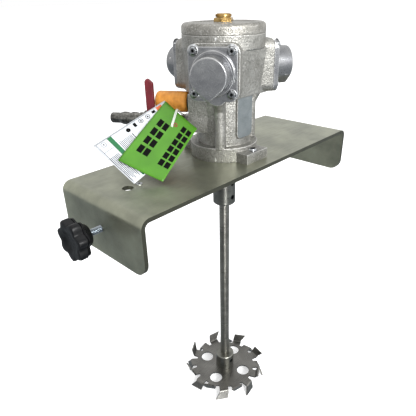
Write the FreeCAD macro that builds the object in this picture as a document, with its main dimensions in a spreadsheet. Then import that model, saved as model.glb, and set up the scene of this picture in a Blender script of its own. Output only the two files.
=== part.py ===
import FreeCAD, Part
import math
import os

import Sketcher

# Compressed-air mixer for a small open drum.
# Z is up and lies on the drive shaft. Z = 0 is the underside of the clamp plate, which rests on
# the drum's rim. X runs along the plate, from the clamping screw to the fixed jaw, and Y away from it.

V = FreeCAD.Vector
doc = FreeCAD.newDocument("DrumMixer")
sheet = doc.addObject("Spreadsheet::Sheet", "Sizes")


class Size:
    """A length: its value now and the expression on the sheet that keeps it."""

    def __init__(self, number, text):
        self.number = float(number)
        self.text = text

    def __float__(self):
        return self.number

    def __neg__(self):
        return Size(-self.number, "(-" + self.text + ")")


def asSize(value):
    return value if isinstance(value, Size) else Size(value, repr(float(value)))


def joined(sign, work):
    def forward(left, right):
        right = asSize(right)
        return Size(work(left.number, right.number), "(" + left.text + sign + right.text + ")")

    def backward(right, left):
        return forward(asSize(left), right)

    return forward, backward


Size.__add__, Size.__radd__ = joined(" + ", lambda a, b: a + b)
Size.__sub__, Size.__rsub__ = joined(" - ", lambda a, b: a - b)
Size.__mul__, Size.__rmul__ = joined(" * ", lambda a, b: a * b)
Size.__truediv__, Size.__rtruediv__ = joined(" / ", lambda a, b: a / b)

rows = 0


def size(alias, number):
    """Puts one driving dimension in the sheet under its own name."""
    global rows
    rows += 1
    sheet.set("A%d" % rows, str(number))
    sheet.setAlias("A%d" % rows, alias)
    return Size(number, "Sizes." + alias)


# Clamp plate
plateLength = size("plateLength", 330)
plateWidth = size("plateWidth", 120)
plateThick = size("plateThick", 4)
flangeDrop = size("flangeDrop", 55)
bendRadius = size("bendRadius", 5)
flangeCorner = size("flangeCorner", 14)
shaftOpening = size("shaftOpening", 32)
hangHole = size("hangHole", 10.5)
hangReach = size("hangReach", 132)
groundHole = size("groundHole", 4.5)
groundReach = hangReach - size("groundStep", 13)

# Clamping screw
clampDepth = size("clampDepth", 28)
clampThread = size("clampThread", 6)
clampPitch = size("clampPitch", 1)
clampLength = size("clampLength", 46)
clampNutThick = size("clampNutThick", 8)
clampNutWidth = size("clampNutWidth", 12)
padSize = size("padSize", 18)
padThick = size("padThick", 6)
knobReach = size("knobReach", 19.5)
knobThick = size("knobThick", 11)
knobHub = size("knobHub", 20)
knobHubLong = size("knobHubLong", 7)
knobGap = size("knobGap", 14)

# Motor casting
baseRadius = size("baseRadius", 36)
baseHeight = size("baseHeight", 15)
lugWidth = size("lugWidth", 33)
lugReach = size("lugReach", 46.5)
lugHeight = size("lugHeight", 10.6)
lugBoltReach = size("lugBoltReach", 40)
lugBolt = size("lugBolt", 5)
neckRadius = size("neckRadius", 28.5)
flatReach = size("flatReach", 28.8)
flatWidth = size("flatWidth", 23.4)
flatBottom = size("flatBottom", 22.5)
flatCorner = size("flatCorner", 5)
columnRadius = size("columnRadius", 5.7)
columnReach = size("columnReach", 31)
portBlockReach = size("portBlockReach", 32)
portBlockHalf = size("portBlockHalf", 26)
caseRadius = size("caseRadius", 41.5)
drumTall = size("drumTall", 13)
wallBottomReach = size("wallBottomReach", 36.1)
wallTopReach = size("wallTopReach", 39.1)
crankRoom = size("crankRoom", 33)
bossReach = size("bossReach", 44.6)
bossWidth = size("bossWidth", 49)
bossCorner = size("bossCorner", 9)

# Heights over the plate that follow the cylinders' own height
cylinderHeight = size("cylinderHeight", 91)
crankFloor = cylinderHeight - size("crankDrop", 19)
caseBottom = cylinderHeight - size("caseDrop", 25)
lipHeight = cylinderHeight + size("lipRise", 18.5)
caseHeight = lipHeight + drumTall
bossTop = cylinderHeight + size("bossRise", 26)
silencerHeight = caseBottom - size("silencerDrop", 12.2)
inletHeight = silencerHeight - size("inletDrop", 20.5)
portBlockBottom = inletHeight - size("portFoot", 5.3)

# Lid
lidHeight = size("lidHeight", 10)
lidWall = size("lidWall", 4)
lidEdge = size("lidEdge", 2.5)
lidSpigot = size("lidSpigot", 5)
sealThick = size("sealThick", 1.6)
plugThread = size("plugThread", 10)

# Cylinders
cylinderBore = size("cylinderBore", 26)
linerWall = size("linerWall", 1.6)
gasketThick = size("gasketThick", 0.8)
headThick = size("headThick", 4.9)
headWidth = size("headWidth", 46)
headTall = size("headTall", 48.5)
headMiddle = cylinderHeight - size("headDrop", 0.8)
headCorner = size("headCorner", 7)
beadWide = size("beadWide", 3.8)
beadRise = size("beadRise", 1.2)
bulgeRadius = size("bulgeRadius", 9.5)
bulgeHeight = cylinderHeight - size("bulgeDrop", 19.5)
bulgeSide = size("bulgeSide", 3.6)
capRadius = size("capRadius", 16.9)
capReach = size("capReach", 69.3)
capRoof = size("capRoof", 4)
capDrop = size("capDrop", 15)
capNose = size("capNose", 5.5)
headBolt = size("headBolt", 4)
headBoltAcross = size("headBoltAcross", 35.6)
headBoltTall = size("headBoltTall", 37.8)
headBoltMiddle = cylinderHeight + size("boltRise", 1.2)
headPad = size("headPad", 4.4)
headPadRise = size("headPadRise", 0.5)
throwLength = size("throwLength", 8)
pistonLength = size("pistonLength", 22)
pistonTop = size("pistonTop", 64)
pinReach = size("pinReach", 52)
pinDiameter = size("pinDiameter", 7)
ringThick = size("ringThick", 2)

# Shafts and bearings
bearingBore = size("bearingBore", 17)
bearingOuter = size("bearingOuter", 35)
bearingThick = size("bearingThick", 10)
crankPin = size("crankPin", 18)
crankRing = size("crankRing", 26)
webThick = size("webThick", 7)
webReach = size("webReach", 27)
valveOuter = size("valveOuter", 25)
sleeveOuter = size("sleeveOuter", 31)
outputShaft = size("outputShaft", 14)
couplingOuter = size("couplingOuter", 26)
couplingEnd = size("couplingEnd", 62)
couplingTop = size("couplingTop", 6)
shaftDiameter = size("shaftDiameter", 12)
shaftInset = size("shaftInset", 24)
setScrew = size("setScrew", 6)
runFit = size("runFit", 0.05)
seatGap = size("seatGap", 0.1)

# Toothed disc
discDepth = size("discDepth", 324)
discThick = size("discThick", 2)
notchReach = size("notchReach", 41)
notchRadius = size("notchRadius", 1.2)
hubOuter = size("hubOuter", 25)
hubTall = size("hubTall", 22)
washHole = size("washHole", 17)
washReach = size("washReach", 28.5)
toothFold = size("toothFold", 48.1)
toothSkew = size("toothSkew", 17.3)
toothBend = size("toothBend", 70)
toothTall = size("toothTall", 10.7)
toothCount = 16

# Air side
silencerOuter = size("silencerOuter", 22)
silencerStart = size("silencerStart", 40)
silencerEnd = size("silencerEnd", 74.4)
nippleOuter = size("nippleOuter", 12)
nippleHex = size("nippleHex", 14)
valveStart = size("valveStart", 60)
valveMiddle = size("valveMiddle", 76.6)
valveEnd = size("valveEnd", 90)
valveBarrel = size("valveBarrel", 19)
valveHex = size("valveHex", 16.4)
ballSize = size("ballSize", 11)
portBore = size("portBore", 6)
stemSize = size("stemSize", 5)
leverLength = size("leverLength", 46.5)
leverWidth = size("leverWidth", 7)
leverThick = size("leverThick", 2)
gripWidth = size("gripWidth", 9.2)
gripThick = size("gripThick", 4.4)
plugEnd = size("plugEnd", 130.3)
cardThick = size("cardThick", 0.6)

doc.recompute()

# Directions seen from above: the three cylinders, the two plain sides and the air ports
cylinderTurns = (210, 330, 90)
flatTurns = (270, 30)
portTurn = 120
passageLead = 4.5
throwTurn = 210


def direction(turn):
    return V(math.cos(math.radians(turn)), math.sin(math.radians(turn)), 0)


def above(height):
    """A height over the top face of the clamp plate."""
    return plateThick + height


# Building helpers
def bind(item, path, value):
    value = asSize(value)
    item.setExpression(path, value.text)


def place(item, x=0, y=0, z=0, spin=None):
    """Puts a sub-part at x, y, z, with each place kept by the sheet."""
    x, y, z = asSize(x), asSize(y), asSize(z)
    item.Placement = FreeCAD.Placement(V(float(x), float(y), float(z)), spin or FreeCAD.Rotation())
    for axis, value in (("x", x), ("y", y), ("z", z)):
        bind(item, "Placement.Base." + axis, value)
    return item


def facing(turn):
    """Turns a piece built along Z so that it points outwards in this direction."""
    return FreeCAD.Rotation(V(0, 0, 1), turn) * FreeCAD.Rotation(V(0, 1, 0), 90)


def outward(turn, reach):
    """The x and y of a point this far from the axis."""
    way = direction(turn)
    return asSize(reach) * way.x, asSize(reach) * way.y


def newBody(label):
    body = doc.addObject("PartDesign::Body", label)
    body.Label = label
    return body


def originPlane(body, role):
    return next(feature for feature in body.Origin.OriginFeatures if feature.Role == role)


def newSketch(body, role, lift=None):
    sketch = body.newObject("Sketcher::SketchObject", "Outline")
    sketch.AttachmentSupport = (originPlane(body, role), [""])
    sketch.MapMode = "FlatFace"
    if lift is not None:
        lift = asSize(lift)
        sketch.AttachmentOffset = FreeCAD.Placement(V(0, 0, float(lift)), FreeCAD.Rotation())
        bind(sketch, "AttachmentOffset.Base.z", lift)
    return sketch


def addPolygon(sketch, points):
    """Adds a closed outline whose corners are bound to the sheet."""
    first = sketch.GeometryCount
    count = len(points)
    spots = [V(float(asSize(x)), float(asSize(y)), 0) for x, y in points]
    for index in range(count):
        sketch.addGeometry(Part.LineSegment(spots[index], spots[(index + 1) % count]))
    for index in range(count):
        following = first + (index + 1) % count
        sketch.addConstraint(Sketcher.Constraint("Coincident", first + index, 2, following, 1))
    for index, (x, y) in enumerate(points):
        for kind, value in (("DistanceX", asSize(x)), ("DistanceY", asSize(y))):
            rule = Sketcher.Constraint(kind, -1, 1, first + index, 1, float(value))
            bind(sketch, "Constraints[%d]" % sketch.addConstraint(rule), value)


def addCircle(sketch, radius, x=0, y=0):
    x, y, radius = asSize(x), asSize(y), asSize(radius)
    index = sketch.addGeometry(Part.Circle(V(float(x), float(y), 0), V(0, 0, 1), float(radius)))
    rules = (
        (Sketcher.Constraint("Radius", index, float(radius)), radius),
        (Sketcher.Constraint("DistanceX", -1, 1, index, 3, float(x)), x),
        (Sketcher.Constraint("DistanceY", -1, 1, index, 3, float(y)), y),
    )
    for rule, value in rules:
        bind(sketch, "Constraints[%d]" % sketch.addConstraint(rule), value)


def hexagon(across):
    """The corners of a hexagon with this width over its flats."""
    corner = asSize(across) / math.sqrt(3)
    turns = [math.radians(30 + 60 * step) for step in range(6)]
    return [(corner * math.cos(turn), corner * math.sin(turn)) for turn in turns]


def spun(body, profile):
    """Adds a turned shape from (radius, height) corners round the body's Z axis."""
    sketch = newSketch(body, "XZ_Plane")
    addPolygon(sketch, profile)
    turned = body.newObject("PartDesign::Revolution", "Turned")
    turned.Profile = sketch
    turned.ReferenceAxis = (originPlane(body, "Z_Axis"), [""])
    turned.Angle = 360
    doc.recompute()
    return turned


def turnedBody(label, profile):
    body = newBody(label)
    spun(body, profile)
    return body


def padded(body, draw, thick, lift=None, role="XY_Plane", middle=False):
    """Adds a plate of the outline that draw() puts in its sketch."""
    sketch = newSketch(body, role, lift)
    draw(sketch)
    pad = body.newObject("PartDesign::Pad", "Plate")
    pad.Profile = sketch
    bind(pad, "Length", thick)
    pad.SideType = "Symmetric" if middle else "One side"
    doc.recompute()
    return pad


def pocketed(body, draw, lift=None, role="XY_Plane", depth=None, backward=False):
    """Cuts an outline through the body, or to a depth, and checks that it removed something."""
    before = body.Shape.Volume
    sketch = newSketch(body, role, lift)
    draw(sketch)
    pocket = body.newObject("PartDesign::Pocket", "Opening")
    pocket.Profile = sketch
    if depth is None:
        pocket.Type = "ThroughAll"
        pocket.SideType = "Symmetric"
    else:
        bind(pocket, "Length", depth)
        pocket.Reversed = backward
    doc.recompute()
    if body.Shape.Volume >= before - 1e-6:
        raise RuntimeError("an opening in " + body.Label + " removed nothing")
    return pocket


def rounded(body, radius, wanted):
    """Rounds every edge of the body for which wanted(edge) is true."""
    names = ["Edge%d" % (n + 1) for n, edge in enumerate(body.Shape.Edges) if wanted(edge)]
    base = body.Tip
    fillet = body.newObject("PartDesign::Fillet", "Rounding")
    fillet.Base = (base, names)
    bind(fillet, "Radius", radius)
    doc.recompute()
    return fillet


def circleAt(height, radius):
    """Picks a round edge at this height along the body's own Z axis."""
    height, radius = float(asSize(height)), float(asSize(radius))

    def wanted(edge):
        curve = edge.Curve
        if not isinstance(curve, Part.Circle):
            return False
        return abs(curve.Center.z - height) < 0.01 and abs(curve.Radius - radius) < 0.01

    return wanted


def primitive(kind, label, **values):
    item = doc.addObject("Part::" + kind, label)
    for name, value in values.items():
        bind(item, name, value)
    return item


def cylinder(radius, tall, x=0, y=0, z=0, spin=None):
    return place(primitive("Cylinder", "Round", Radius=radius, Height=tall), x, y, z, spin)


def block(long, wide, tall, x=0, y=0, z=0, turn=0):
    """A block whose long side points in this direction, starting at the axis plus x."""
    item = primitive("Box", "Block", Length=long, Width=wide, Height=tall)
    way, side = direction(turn), direction(turn + 90)
    x, half = asSize(x), asSize(wide) / 2
    startX = x * way.x - (half - y) * side.x
    startY = x * way.y - (half - y) * side.y
    return place(item, startX, startY, z, FreeCAD.Rotation(V(0, 0, 1), turn))


def fused(label, items):
    item = doc.addObject("Part::MultiFuse", label)
    item.Shapes = items
    item.Label = label
    return item


def cut(label, base, tool):
    item = doc.addObject("Part::Cut", label)
    item.Base = base
    item.Tool = tool
    item.Label = label
    return item


def feature(label, shape):
    item = doc.addObject("Part::Feature", label)
    item.Label = label
    item.Shape = shape
    return item


nodes = []


def node(item):
    """Marks a sub-part that is written to a file under its label."""
    nodes.append(item)
    return item


# Clamp plate
def makePlate():
    body = newBody("clamp_plate")
    half = plateLength / 2
    inner = half - plateThick
    low = plateThick - flangeDrop
    outline = [(-half, low), (-inner, low), (-inner, 0), (inner, 0),
               (inner, low), (half, low), (half, plateThick), (-half, plateThick)]
    padded(body, lambda sketch: addPolygon(sketch, outline), plateWidth, role="XZ_Plane", middle=True)

    def along(edge, x, z):
        middle = edge.CenterOfMass
        straight = edge.BoundBox.YLength > float(plateWidth) - 0.1
        return straight and abs(abs(middle.x) - float(x)) < 0.01 and abs(middle.z - float(z)) < 0.01

    rounded(body, bendRadius, lambda edge: along(edge, inner, asSize(0)))
    rounded(body, bendRadius + plateThick, lambda edge: along(edge, half, plateThick))

    def lowCorner(edge):
        box = edge.BoundBox
        deep = abs(box.ZMin - float(low)) < 0.01 and box.ZLength < 0.01
        return deep and box.YLength < 0.01 and box.XLength > 1

    rounded(body, flangeCorner, lowCorner)
    pocketed(body, lambda sketch: addCircle(sketch, shaftOpening / 2))
    pocketed(body, lambda sketch: addCircle(sketch, hangHole / 2, -hangReach))
    pocketed(body, lambda sketch: addCircle(sketch, groundHole / 2, -groundReach))
    for side in (-1, 1):
        pocketed(body, lambda sketch: addCircle(sketch, lugBolt / 2, 0, lugBoltReach * side))
    screwHole = clampThread / 2 + seatGap
    before = body.Shape.Volume
    sketch = newSketch(body, "YZ_Plane", -half)
    addCircle(sketch, screwHole, 0, plateThick - clampDepth)
    hole = body.newObject("PartDesign::Pocket", "ScrewHole")
    hole.Profile = sketch
    bind(hole, "Length", plateThick * 2)
    hole.Reversed = True
    doc.recompute()
    if body.Shape.Volume >= before:
        raise RuntimeError("the clamping screw has no hole")
    return node(body)


makePlate()

# Grounding rivet beside the hanging hole, set in its hole with a thin flange on top
rivetInner = groundHole / 2 - 1
rivetFlange = groundHole / 2 + 1
node(place(turnedBody("ground_rivet", [
    (rivetInner, 0), (groundHole / 2, 0), (groundHole / 2, plateThick), (rivetFlange, plateThick),
    (rivetFlange, plateThick + 0.6), (rivetInner, plateThick + 0.6)]), -groundReach))


# Motor casting
def makeHousing():
    solids = [cylinder(baseRadius, baseHeight, z=plateThick)]
    lugLong = lugReach
    for turn in (270, 90):
        lug = block(lugLong, lugWidth, lugHeight, z=plateThick, turn=turn)
        solids.append(lug)
    neckTall = crankFloor - baseHeight + 1
    solids.append(cylinder(neckRadius, neckTall, z=above(baseHeight) - 1))
    portTall = caseBottom - portBlockBottom + 1
    solids.append(block(portBlockReach, portBlockHalf * 2, portTall, z=above(portBlockBottom), turn=portTurn))
    for turn in cylinderTurns:
        x, y = outward(turn + passageLead, columnReach)
        solids.append(cylinder(columnRadius, caseBottom - baseHeight + 2, x, y, above(baseHeight) - 1))
    solids.append(cylinder(caseRadius, caseHeight - lipHeight, z=above(lipHeight)))
    return solids


def wedgeCore():
    """The crankcase between the cylinders: three walls that lean in towards the neck."""
    def ring(reach, height):
        corner = float(reach) / math.cos(math.radians(60))
        flat = float(bossReach) + 2
        spots = []
        for turn in cylinderTurns:
            spots.append(direction(turn) * min(corner, flat * 2) + V(0, 0, float(height)))
        return Part.makePolygon(spots + spots[:1])

    low = ring(wallBottomReach, above(caseBottom))
    high = ring(wallTopReach, above(lipHeight))
    core = Part.makeLoft([low, high], True, True)
    tall = float(lipHeight - caseBottom)
    limit = Part.makeCylinder(float(bossReach) - 1, tall, V(0, 0, float(above(caseBottom))))
    return core.common(limit)


def roundedBlock(reach, start, wide, low, high, corner, turn):
    """A block with rounded long edges that points outwards from start to reach."""
    wide, low, high = float(wide), float(low), float(high)
    outline = Part.makePolygon([
        V(float(start), -wide / 2, low), V(float(start), wide / 2, low),
        V(float(start), wide / 2, high), V(float(start), -wide / 2, high), V(float(start), -wide / 2, low)])
    solid = Part.Face(outline).extrude(V(float(reach) - float(start), 0, 0))
    edges = [edge for edge in solid.Edges if edge.BoundBox.XLength > 0.1]
    solid = solid.makeFillet(float(corner), edges)
    solid.rotate(V(0, 0, 0), V(0, 0, 1), turn)
    return solid


def airPassage(turn):
    """The slanted passage that carries air from a column to its cylinder head."""
    start = direction(turn) * float(columnReach) + V(0, 0, float(above(caseBottom)) - 11.8)
    end = direction(turn) * (float(bossReach) - 6.5) + V(0, 0, float(above(caseBottom)) - 0.8)
    radius = float(columnRadius) + 0.1
    slope = Part.makeCylinder(radius, (end - start).Length, start, end - start)
    return slope.fuse([Part.makeSphere(radius, start), Part.makeSphere(radius, end)])


casting = makeHousing()
casting.append(feature("CrankcaseWalls", wedgeCore()))
for turn in cylinderTurns:
    casting.append(feature("CylinderBoss", roundedBlock(
        bossReach, 20, bossWidth, above(caseBottom), above(bossTop), bossCorner, turn)))
    casting.append(feature("AirPassage", airPassage(turn + passageLead)))
    x, y = outward(turn, 28)
    aside = direction(turn + 90)
    casting.append(cylinder(bulgeRadius, bossReach - 28, x + bulgeSide * aside.x, y + bulgeSide * aside.y,
                            above(bulgeHeight), facing(turn)))
for turn in flatTurns:
    casting.append(feature("FlatPad", roundedBlock(
        flatReach, 12, flatWidth, above(flatBottom), above(caseBottom) + 8, flatCorner, turn)))
portBosses = ((silencerHeight, 10.5), (inletHeight, 8))
for height, radius in portBosses:
    casting.append(cylinder(radius, portBlockReach - 20, *outward(portTurn, 20), above(height), facing(portTurn)))
castSolid = fused("CastSolid", casting)

linerOuter = cylinderBore / 2 + linerWall
bearingSeat = bearingOuter / 2
sleeveSeat = sleeveOuter / 2
upperBearing = crankFloor - bearingThick - 1
lowerBearing = asSize(8)
sealTall = asSize(6)
rooms = [
    cylinder(crankRoom, caseHeight - crankFloor + 1, z=above(crankFloor)),
    cylinder(bearingSeat, crankFloor - upperBearing + 1, z=above(upperBearing)),
    cylinder(sleeveSeat, upperBearing, z=above(lowerBearing)),
    cylinder(bearingSeat, lowerBearing + bearingThick, z=plateThick),
]
for turn in cylinderTurns:
    x, y = outward(turn, 20)
    rooms.append(cylinder(linerOuter, bossReach - 19, x, y, above(cylinderHeight), facing(turn)))
    x, y = outward(turn + passageLead, columnReach - 4)
    rooms.append(cylinder(2.5, caseBottom - 38, x, y, above(40)))
    for across in (-1, 1):
        for rise in (-1, 1):
            side = direction(turn + 90) * float(headBoltAcross / 2) * across
            foot = direction(turn) * (float(bossReach) - 9) + side
            rooms.append(place(
                primitive("Cylinder", "BoltHole", Radius=headBolt / 2, Height=10), foot.x, foot.y,
                above(headBoltMiddle) + headBoltTall / 2 * rise, facing(turn)))
for height, radius in ((silencerHeight, 5), (inletHeight, 5)):
    x, y = outward(portTurn, 12)
    rooms.append(cylinder(radius, portBlockReach, x, y, above(height), facing(portTurn)))
for side in (-1, 1):
    rooms.append(cylinder(lugBolt / 2 + seatGap, lugHeight + 2, 0, lugBoltReach * side, plateThick - 1))
node(cut("motor_housing", castSolid, fused("CastRooms", rooms)))

# Lid with a rounded rim, a spigot and a threaded hole for the plug
plugHole = plugThread / 2
spigot = crankRoom - runFit
lid = turnedBody("motor_lid", [
    (plugHole, lidHeight - lidWall), (spigot - 3, lidHeight - lidWall), (spigot - 3, -lidSpigot),
    (spigot, -lidSpigot), (spigot, -(sealThick + 1)), (spigot - sealThick, -(sealThick + 1)),
    (spigot - sealThick, -1), (spigot, -1), (spigot, 0), (caseRadius, 0),
    (caseRadius, lidHeight), (plugHole, lidHeight)])
rounded(lid, lidEdge, circleAt(lidHeight, caseRadius))
node(place(lid, z=above(caseHeight)))
node(place(turnedBody("lid_seal", [
    (spigot - sealThick, -(sealThick + 1)), (spigot, -(sealThick + 1)), (spigot, -1),
    (spigot - sealThick, -1)]), z=above(caseHeight)))


# Brass plug: six-sided foot, groove, round knurled cap
def makePlug():
    body = newBody("breather_plug")
    foot = asSize(3.5)
    cap = asSize(7.4)
    padded(body, lambda sketch: addPolygon(sketch, hexagon(16)), foot)
    spun(body, [(0, -(lidWall - 0.5)), (plugHole, -(lidWall - 0.5)), (plugHole, 0.2), (6.8, foot - 0.2),
                (6.8, foot + 0.4), (7.8, foot + 0.8), (7.8, cap - 0.6), (7.2, cap), (0, cap)])
    return node(place(body, z=above(caseHeight) + lidHeight))


makePlug()


# Cylinder heads: square flange, bead and drop-shaped cap over the bore
def dropOutline(radius, reach):
    """A circle whose lower side runs tangent into a small round nose."""
    high = float(cylinderHeight)
    low = high - float(capDrop)
    nose = float(capNose) * radius / float(capRadius)
    lean = math.asin((radius - nose) / float(capDrop))
    side = V(0, math.cos(lean), -math.sin(lean))
    other = V(0, -math.cos(lean), -math.sin(lean))
    big, small = V(reach, 0, high), V(reach, 0, low)
    edges = [
        Part.Arc(big + side * radius, V(reach, 0, high + radius), big + other * radius).toShape(),
        Part.LineSegment(big + other * radius, small + other * nose).toShape(),
        Part.Arc(small + other * nose, V(reach, 0, low - nose), small + side * nose).toShape(),
        Part.LineSegment(small + side * nose, big + side * radius).toShape(),
    ]
    return Part.Wire(edges)


headFace = bossReach + gasketThick + headThick


def boltSpots(reach):
    """The four screw places of a head, on the plane x = reach and over the plate."""
    side, rise = float(headBoltAcross) / 2, float(headBoltTall) / 2
    middle = float(headBoltMiddle)
    return [V(reach, across * side, middle + up * rise) for across in (-1, 1) for up in (-1, 1)]


def headShape():
    start = float(bossReach + gasketThick)
    low = headMiddle - headTall / 2
    high = headMiddle + headTall / 2
    flange = roundedBlock(headFace, start, headWidth, low, high, headCorner, 0)
    draft = 1.3
    cap = Part.makeLoft([dropOutline(float(capRadius) + draft, start),
                         dropOutline(float(capRadius), float(capReach))], True, True)
    rim = [edge for edge in cap.Edges if edge.BoundBox.XMin > float(capReach) - 0.01]
    cap = cap.makeFillet(1.2, rim)
    turn = V(1, 0, 0)
    beadEnd = float(headThick + beadRise)
    bead = Part.makeCylinder(float(capRadius + beadWide), beadEnd, V(start, 0, float(cylinderHeight)), turn)
    bead = bead.makeFillet(1, [edge for edge in bead.Edges if edge.BoundBox.XMin > start + beadEnd - 0.01])
    bulge = Part.makeCylinder(float(bulgeRadius), float(headThick), V(start, float(bulgeSide), float(bulgeHeight)), turn)
    pads = []
    for spot in boltSpots(start):
        pads.append(Part.makeCylinder(float(headPad), float(headThick + headPadRise), spot, turn))
    bore = Part.makeCylinder(float(linerOuter), float(capReach - capRoof) - start,
                             V(start, 0, float(cylinderHeight)), turn)
    body = flange.fuse([cap, bead, bulge] + pads).removeSplitter().cut(bore)
    for spot in boltSpots(start - 1):
        body = body.cut(Part.makeCylinder(float(headBolt) / 2 + float(seatGap), 9, spot, turn))
    return body


def gasketShape():
    start = float(bossReach)
    end = start + float(gasketThick)
    low = headMiddle - headTall / 2
    high = headMiddle + headTall / 2
    sheetShape = roundedBlock(end, start, headWidth, low, high, headCorner, 0)
    turn = V(1, 0, 0)
    foot = V(start, float(bulgeSide), float(bulgeHeight))
    bulge = Part.makeCylinder(float(bulgeRadius), float(gasketThick), foot, turn)
    holes = [Part.makeCylinder(float(linerOuter), 4, V(start - 1, 0, float(cylinderHeight)), turn)]
    for spot in boltSpots(start - 1):
        holes.append(Part.makeCylinder(float(headBolt) / 2 + float(seatGap), 4, spot, turn))
    return sheetShape.fuse(bulge).removeSplitter().cut(holes)


def headBolts():
    """Twelve socket screws, four to a head."""
    head = float(headBolt) * 0.86
    tall = float(headBolt) * 0.75
    start = float(headFace + headPadRise)
    turn = V(1, 0, 0)
    screws = []
    for cylinderTurn in cylinderTurns:
        for seat in boltSpots(start):
            spot = seat + V(0, 0, float(plateThick))
            cap = Part.makeCylinder(head, tall, spot, turn)
            socket = Part.makeCylinder(head * 0.5, tall * 0.6, spot + V(tall * 0.45, 0, 0), turn)
            shank = Part.makeCylinder(float(headBolt) / 2, 12, spot - V(12, 0, 0), turn)
            screw = cap.fuse(shank).cut(socket)
            screw.rotate(V(0, 0, 0), V(0, 0, 1), cylinderTurn)
            screws.append(screw)
    return Part.Compound(screws)


for number, turn in enumerate(cylinderTurns, 1):
    spin = FreeCAD.Rotation(V(0, 0, 1), turn)
    for label, shape in (("cylinder_head_%d", headShape()), ("head_gasket_%d", gasketShape())):
        piece = feature(label % number, shape)
        piece.Placement = FreeCAD.Placement(V(0, 0, float(plateThick)), spin)
        node(piece)
    linerStart = crankRoom + 1
    linerEnd = capReach - capRoof - 0.2
    inner = cylinderBore / 2
    outer = linerOuter - 0.02
    node(place(turnedBody("cylinder_liner_%d" % number, [
        (inner, linerStart), (outer, linerStart), (outer, linerEnd), (inner, linerEnd)]),
        z=above(cylinderHeight), spin=facing(turn)))
node(feature("head_screws", headBolts()))


# Pistons with a skirt, a crown, a ring groove and a cross hole for the pin
def makePiston(number, turn):
    outer = cylinderBore / 2 - runFit
    foot = pistonTop - pistonLength
    groove = pistonTop - 5
    piston = newBody("piston_%d" % number)
    spun(piston, [
        (0, pistonTop - 4), (outer - 2.5, pistonTop - 4), (outer - 2.5, foot), (outer, foot),
        (outer, groove), (outer - ringThick, groove), (outer - ringThick, groove + ringThick),
        (outer, groove + ringThick), (outer, pistonTop), (0, pistonTop)])
    pocketed(piston, lambda sketch: addCircle(sketch, pinDiameter / 2, 0, pinReach), role="YZ_Plane")
    node(place(piston, z=above(cylinderHeight), spin=facing(turn)))
    ring = [(outer - ringThick, groove), (outer, groove), (outer, groove + ringThick),
            (outer - ringThick, groove + ringThick)]
    node(place(turnedBody("piston_ring_%d" % number, ring), z=above(cylinderHeight), spin=facing(turn)))


def rodShape():
    """A rod with a round small end on the pin and a curved shoe that faces the crank ring."""
    sweep = float(throwLength) + float(crankRing) / 2 + 0.1
    wide, thick = 5.0, 9.0
    height = float(cylinderHeight)
    pin = float(pinReach)
    eye = Part.makeCylinder(6, thick, V(pin, 0, height - thick / 2))
    beam = Part.makeBox(pin - sweep - 1, wide, thick, V(sweep + 1, -wide / 2, height - thick / 2))
    shoe = Part.makeBox(5.5, 15, 12, V(sweep - 1.2, -7.5, height - 6))
    clear = Part.makeCylinder(sweep, 20, V(0, 0, height - 10))
    hole = Part.makeCylinder(float(pinDiameter) / 2 + 0.01, thick + 2, V(pin, 0, height - thick / 2 - 1))
    return eye.fuse([beam, shoe]).removeSplitter().cut([clear, hole])


def pinShape():
    """The three wrist pins, which lie upright across their pistons."""
    pins = []
    long = float(cylinderBore) - 2 * float(linerWall)
    for turn in cylinderTurns:
        foot = direction(turn) * float(pinReach) + V(0, 0, float(above(cylinderHeight)) - long / 2)
        pins.append(Part.makeCylinder(float(pinDiameter) / 2, long, foot))
    return Part.Compound(pins)


for number, turn in enumerate(cylinderTurns, 1):
    makePiston(number, turn)
    rod = feature("connecting_rod_%d" % number, rodShape())
    rod.Placement = FreeCAD.Placement(V(0, 0, float(plateThick)), FreeCAD.Rotation(V(0, 0, 1), turn))
    node(rod)
node(feature("wrist_pins", pinShape()))


# Bearings: two equal ball bearings, an outer ring in the casting and an inner ring on the shaft
def ringPair(inner, outer):
    rings = []
    for height in (upperBearing, lowerBearing):
        foot = V(0, 0, float(above(height)))
        ring = Part.makeCylinder(float(outer), float(bearingThick), foot)
        rings.append(ring.cut(Part.makeCylinder(float(inner), float(bearingThick), foot)))
    return Part.Compound(rings)


ballRow = (bearingBore + bearingOuter) / 4
node(feature("bearing_outer_rings", ringPair(ballRow + runFit, bearingOuter / 2 - 0.01)))
node(feature("bearing_inner_rings", ringPair(bearingBore / 2, ballRow - runFit)))
node(place(turnedBody("shaft_seal", [
    (bearingBore / 2 + runFit, 0), (bearingOuter / 2 - 0.01, 0), (bearingOuter / 2 - 0.01, sealTall),
    (bearingBore / 2 + runFit, sealTall)]), z=above(1)))

# Air distributor: a ported sleeve in the neck and a rotary valve on the shaft
sleeveLow = lowerBearing + bearingThick + 2
sleeveHigh = upperBearing - 2
sleeveTall = sleeveHigh - sleeveLow
valveRadius = valveOuter / 2
sleeve = turnedBody("valve_sleeve", [
    (valveRadius + runFit, 0), (sleeveSeat - 0.01, 0), (sleeveSeat - 0.01, sleeveTall),
    (valveRadius + runFit, sleeveTall)])
node(place(sleeve, z=above(sleeveLow)))
pocketed(sleeve, lambda sketch: addCircle(sketch, 2.5, 0, sleeveTall / 2), role="XZ_Plane")
rotary = turnedBody("rotary_valve", [
    (bearingBore / 2, 0.5), (valveRadius, 0.5), (valveRadius, 6), (valveRadius - 2, 6),
    (valveRadius - 2, 10), (valveRadius, 10), (valveRadius, sleeveTall - 0.5),
    (bearingBore / 2, sleeveTall - 0.5)])
node(place(rotary, z=above(sleeveLow)))


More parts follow.
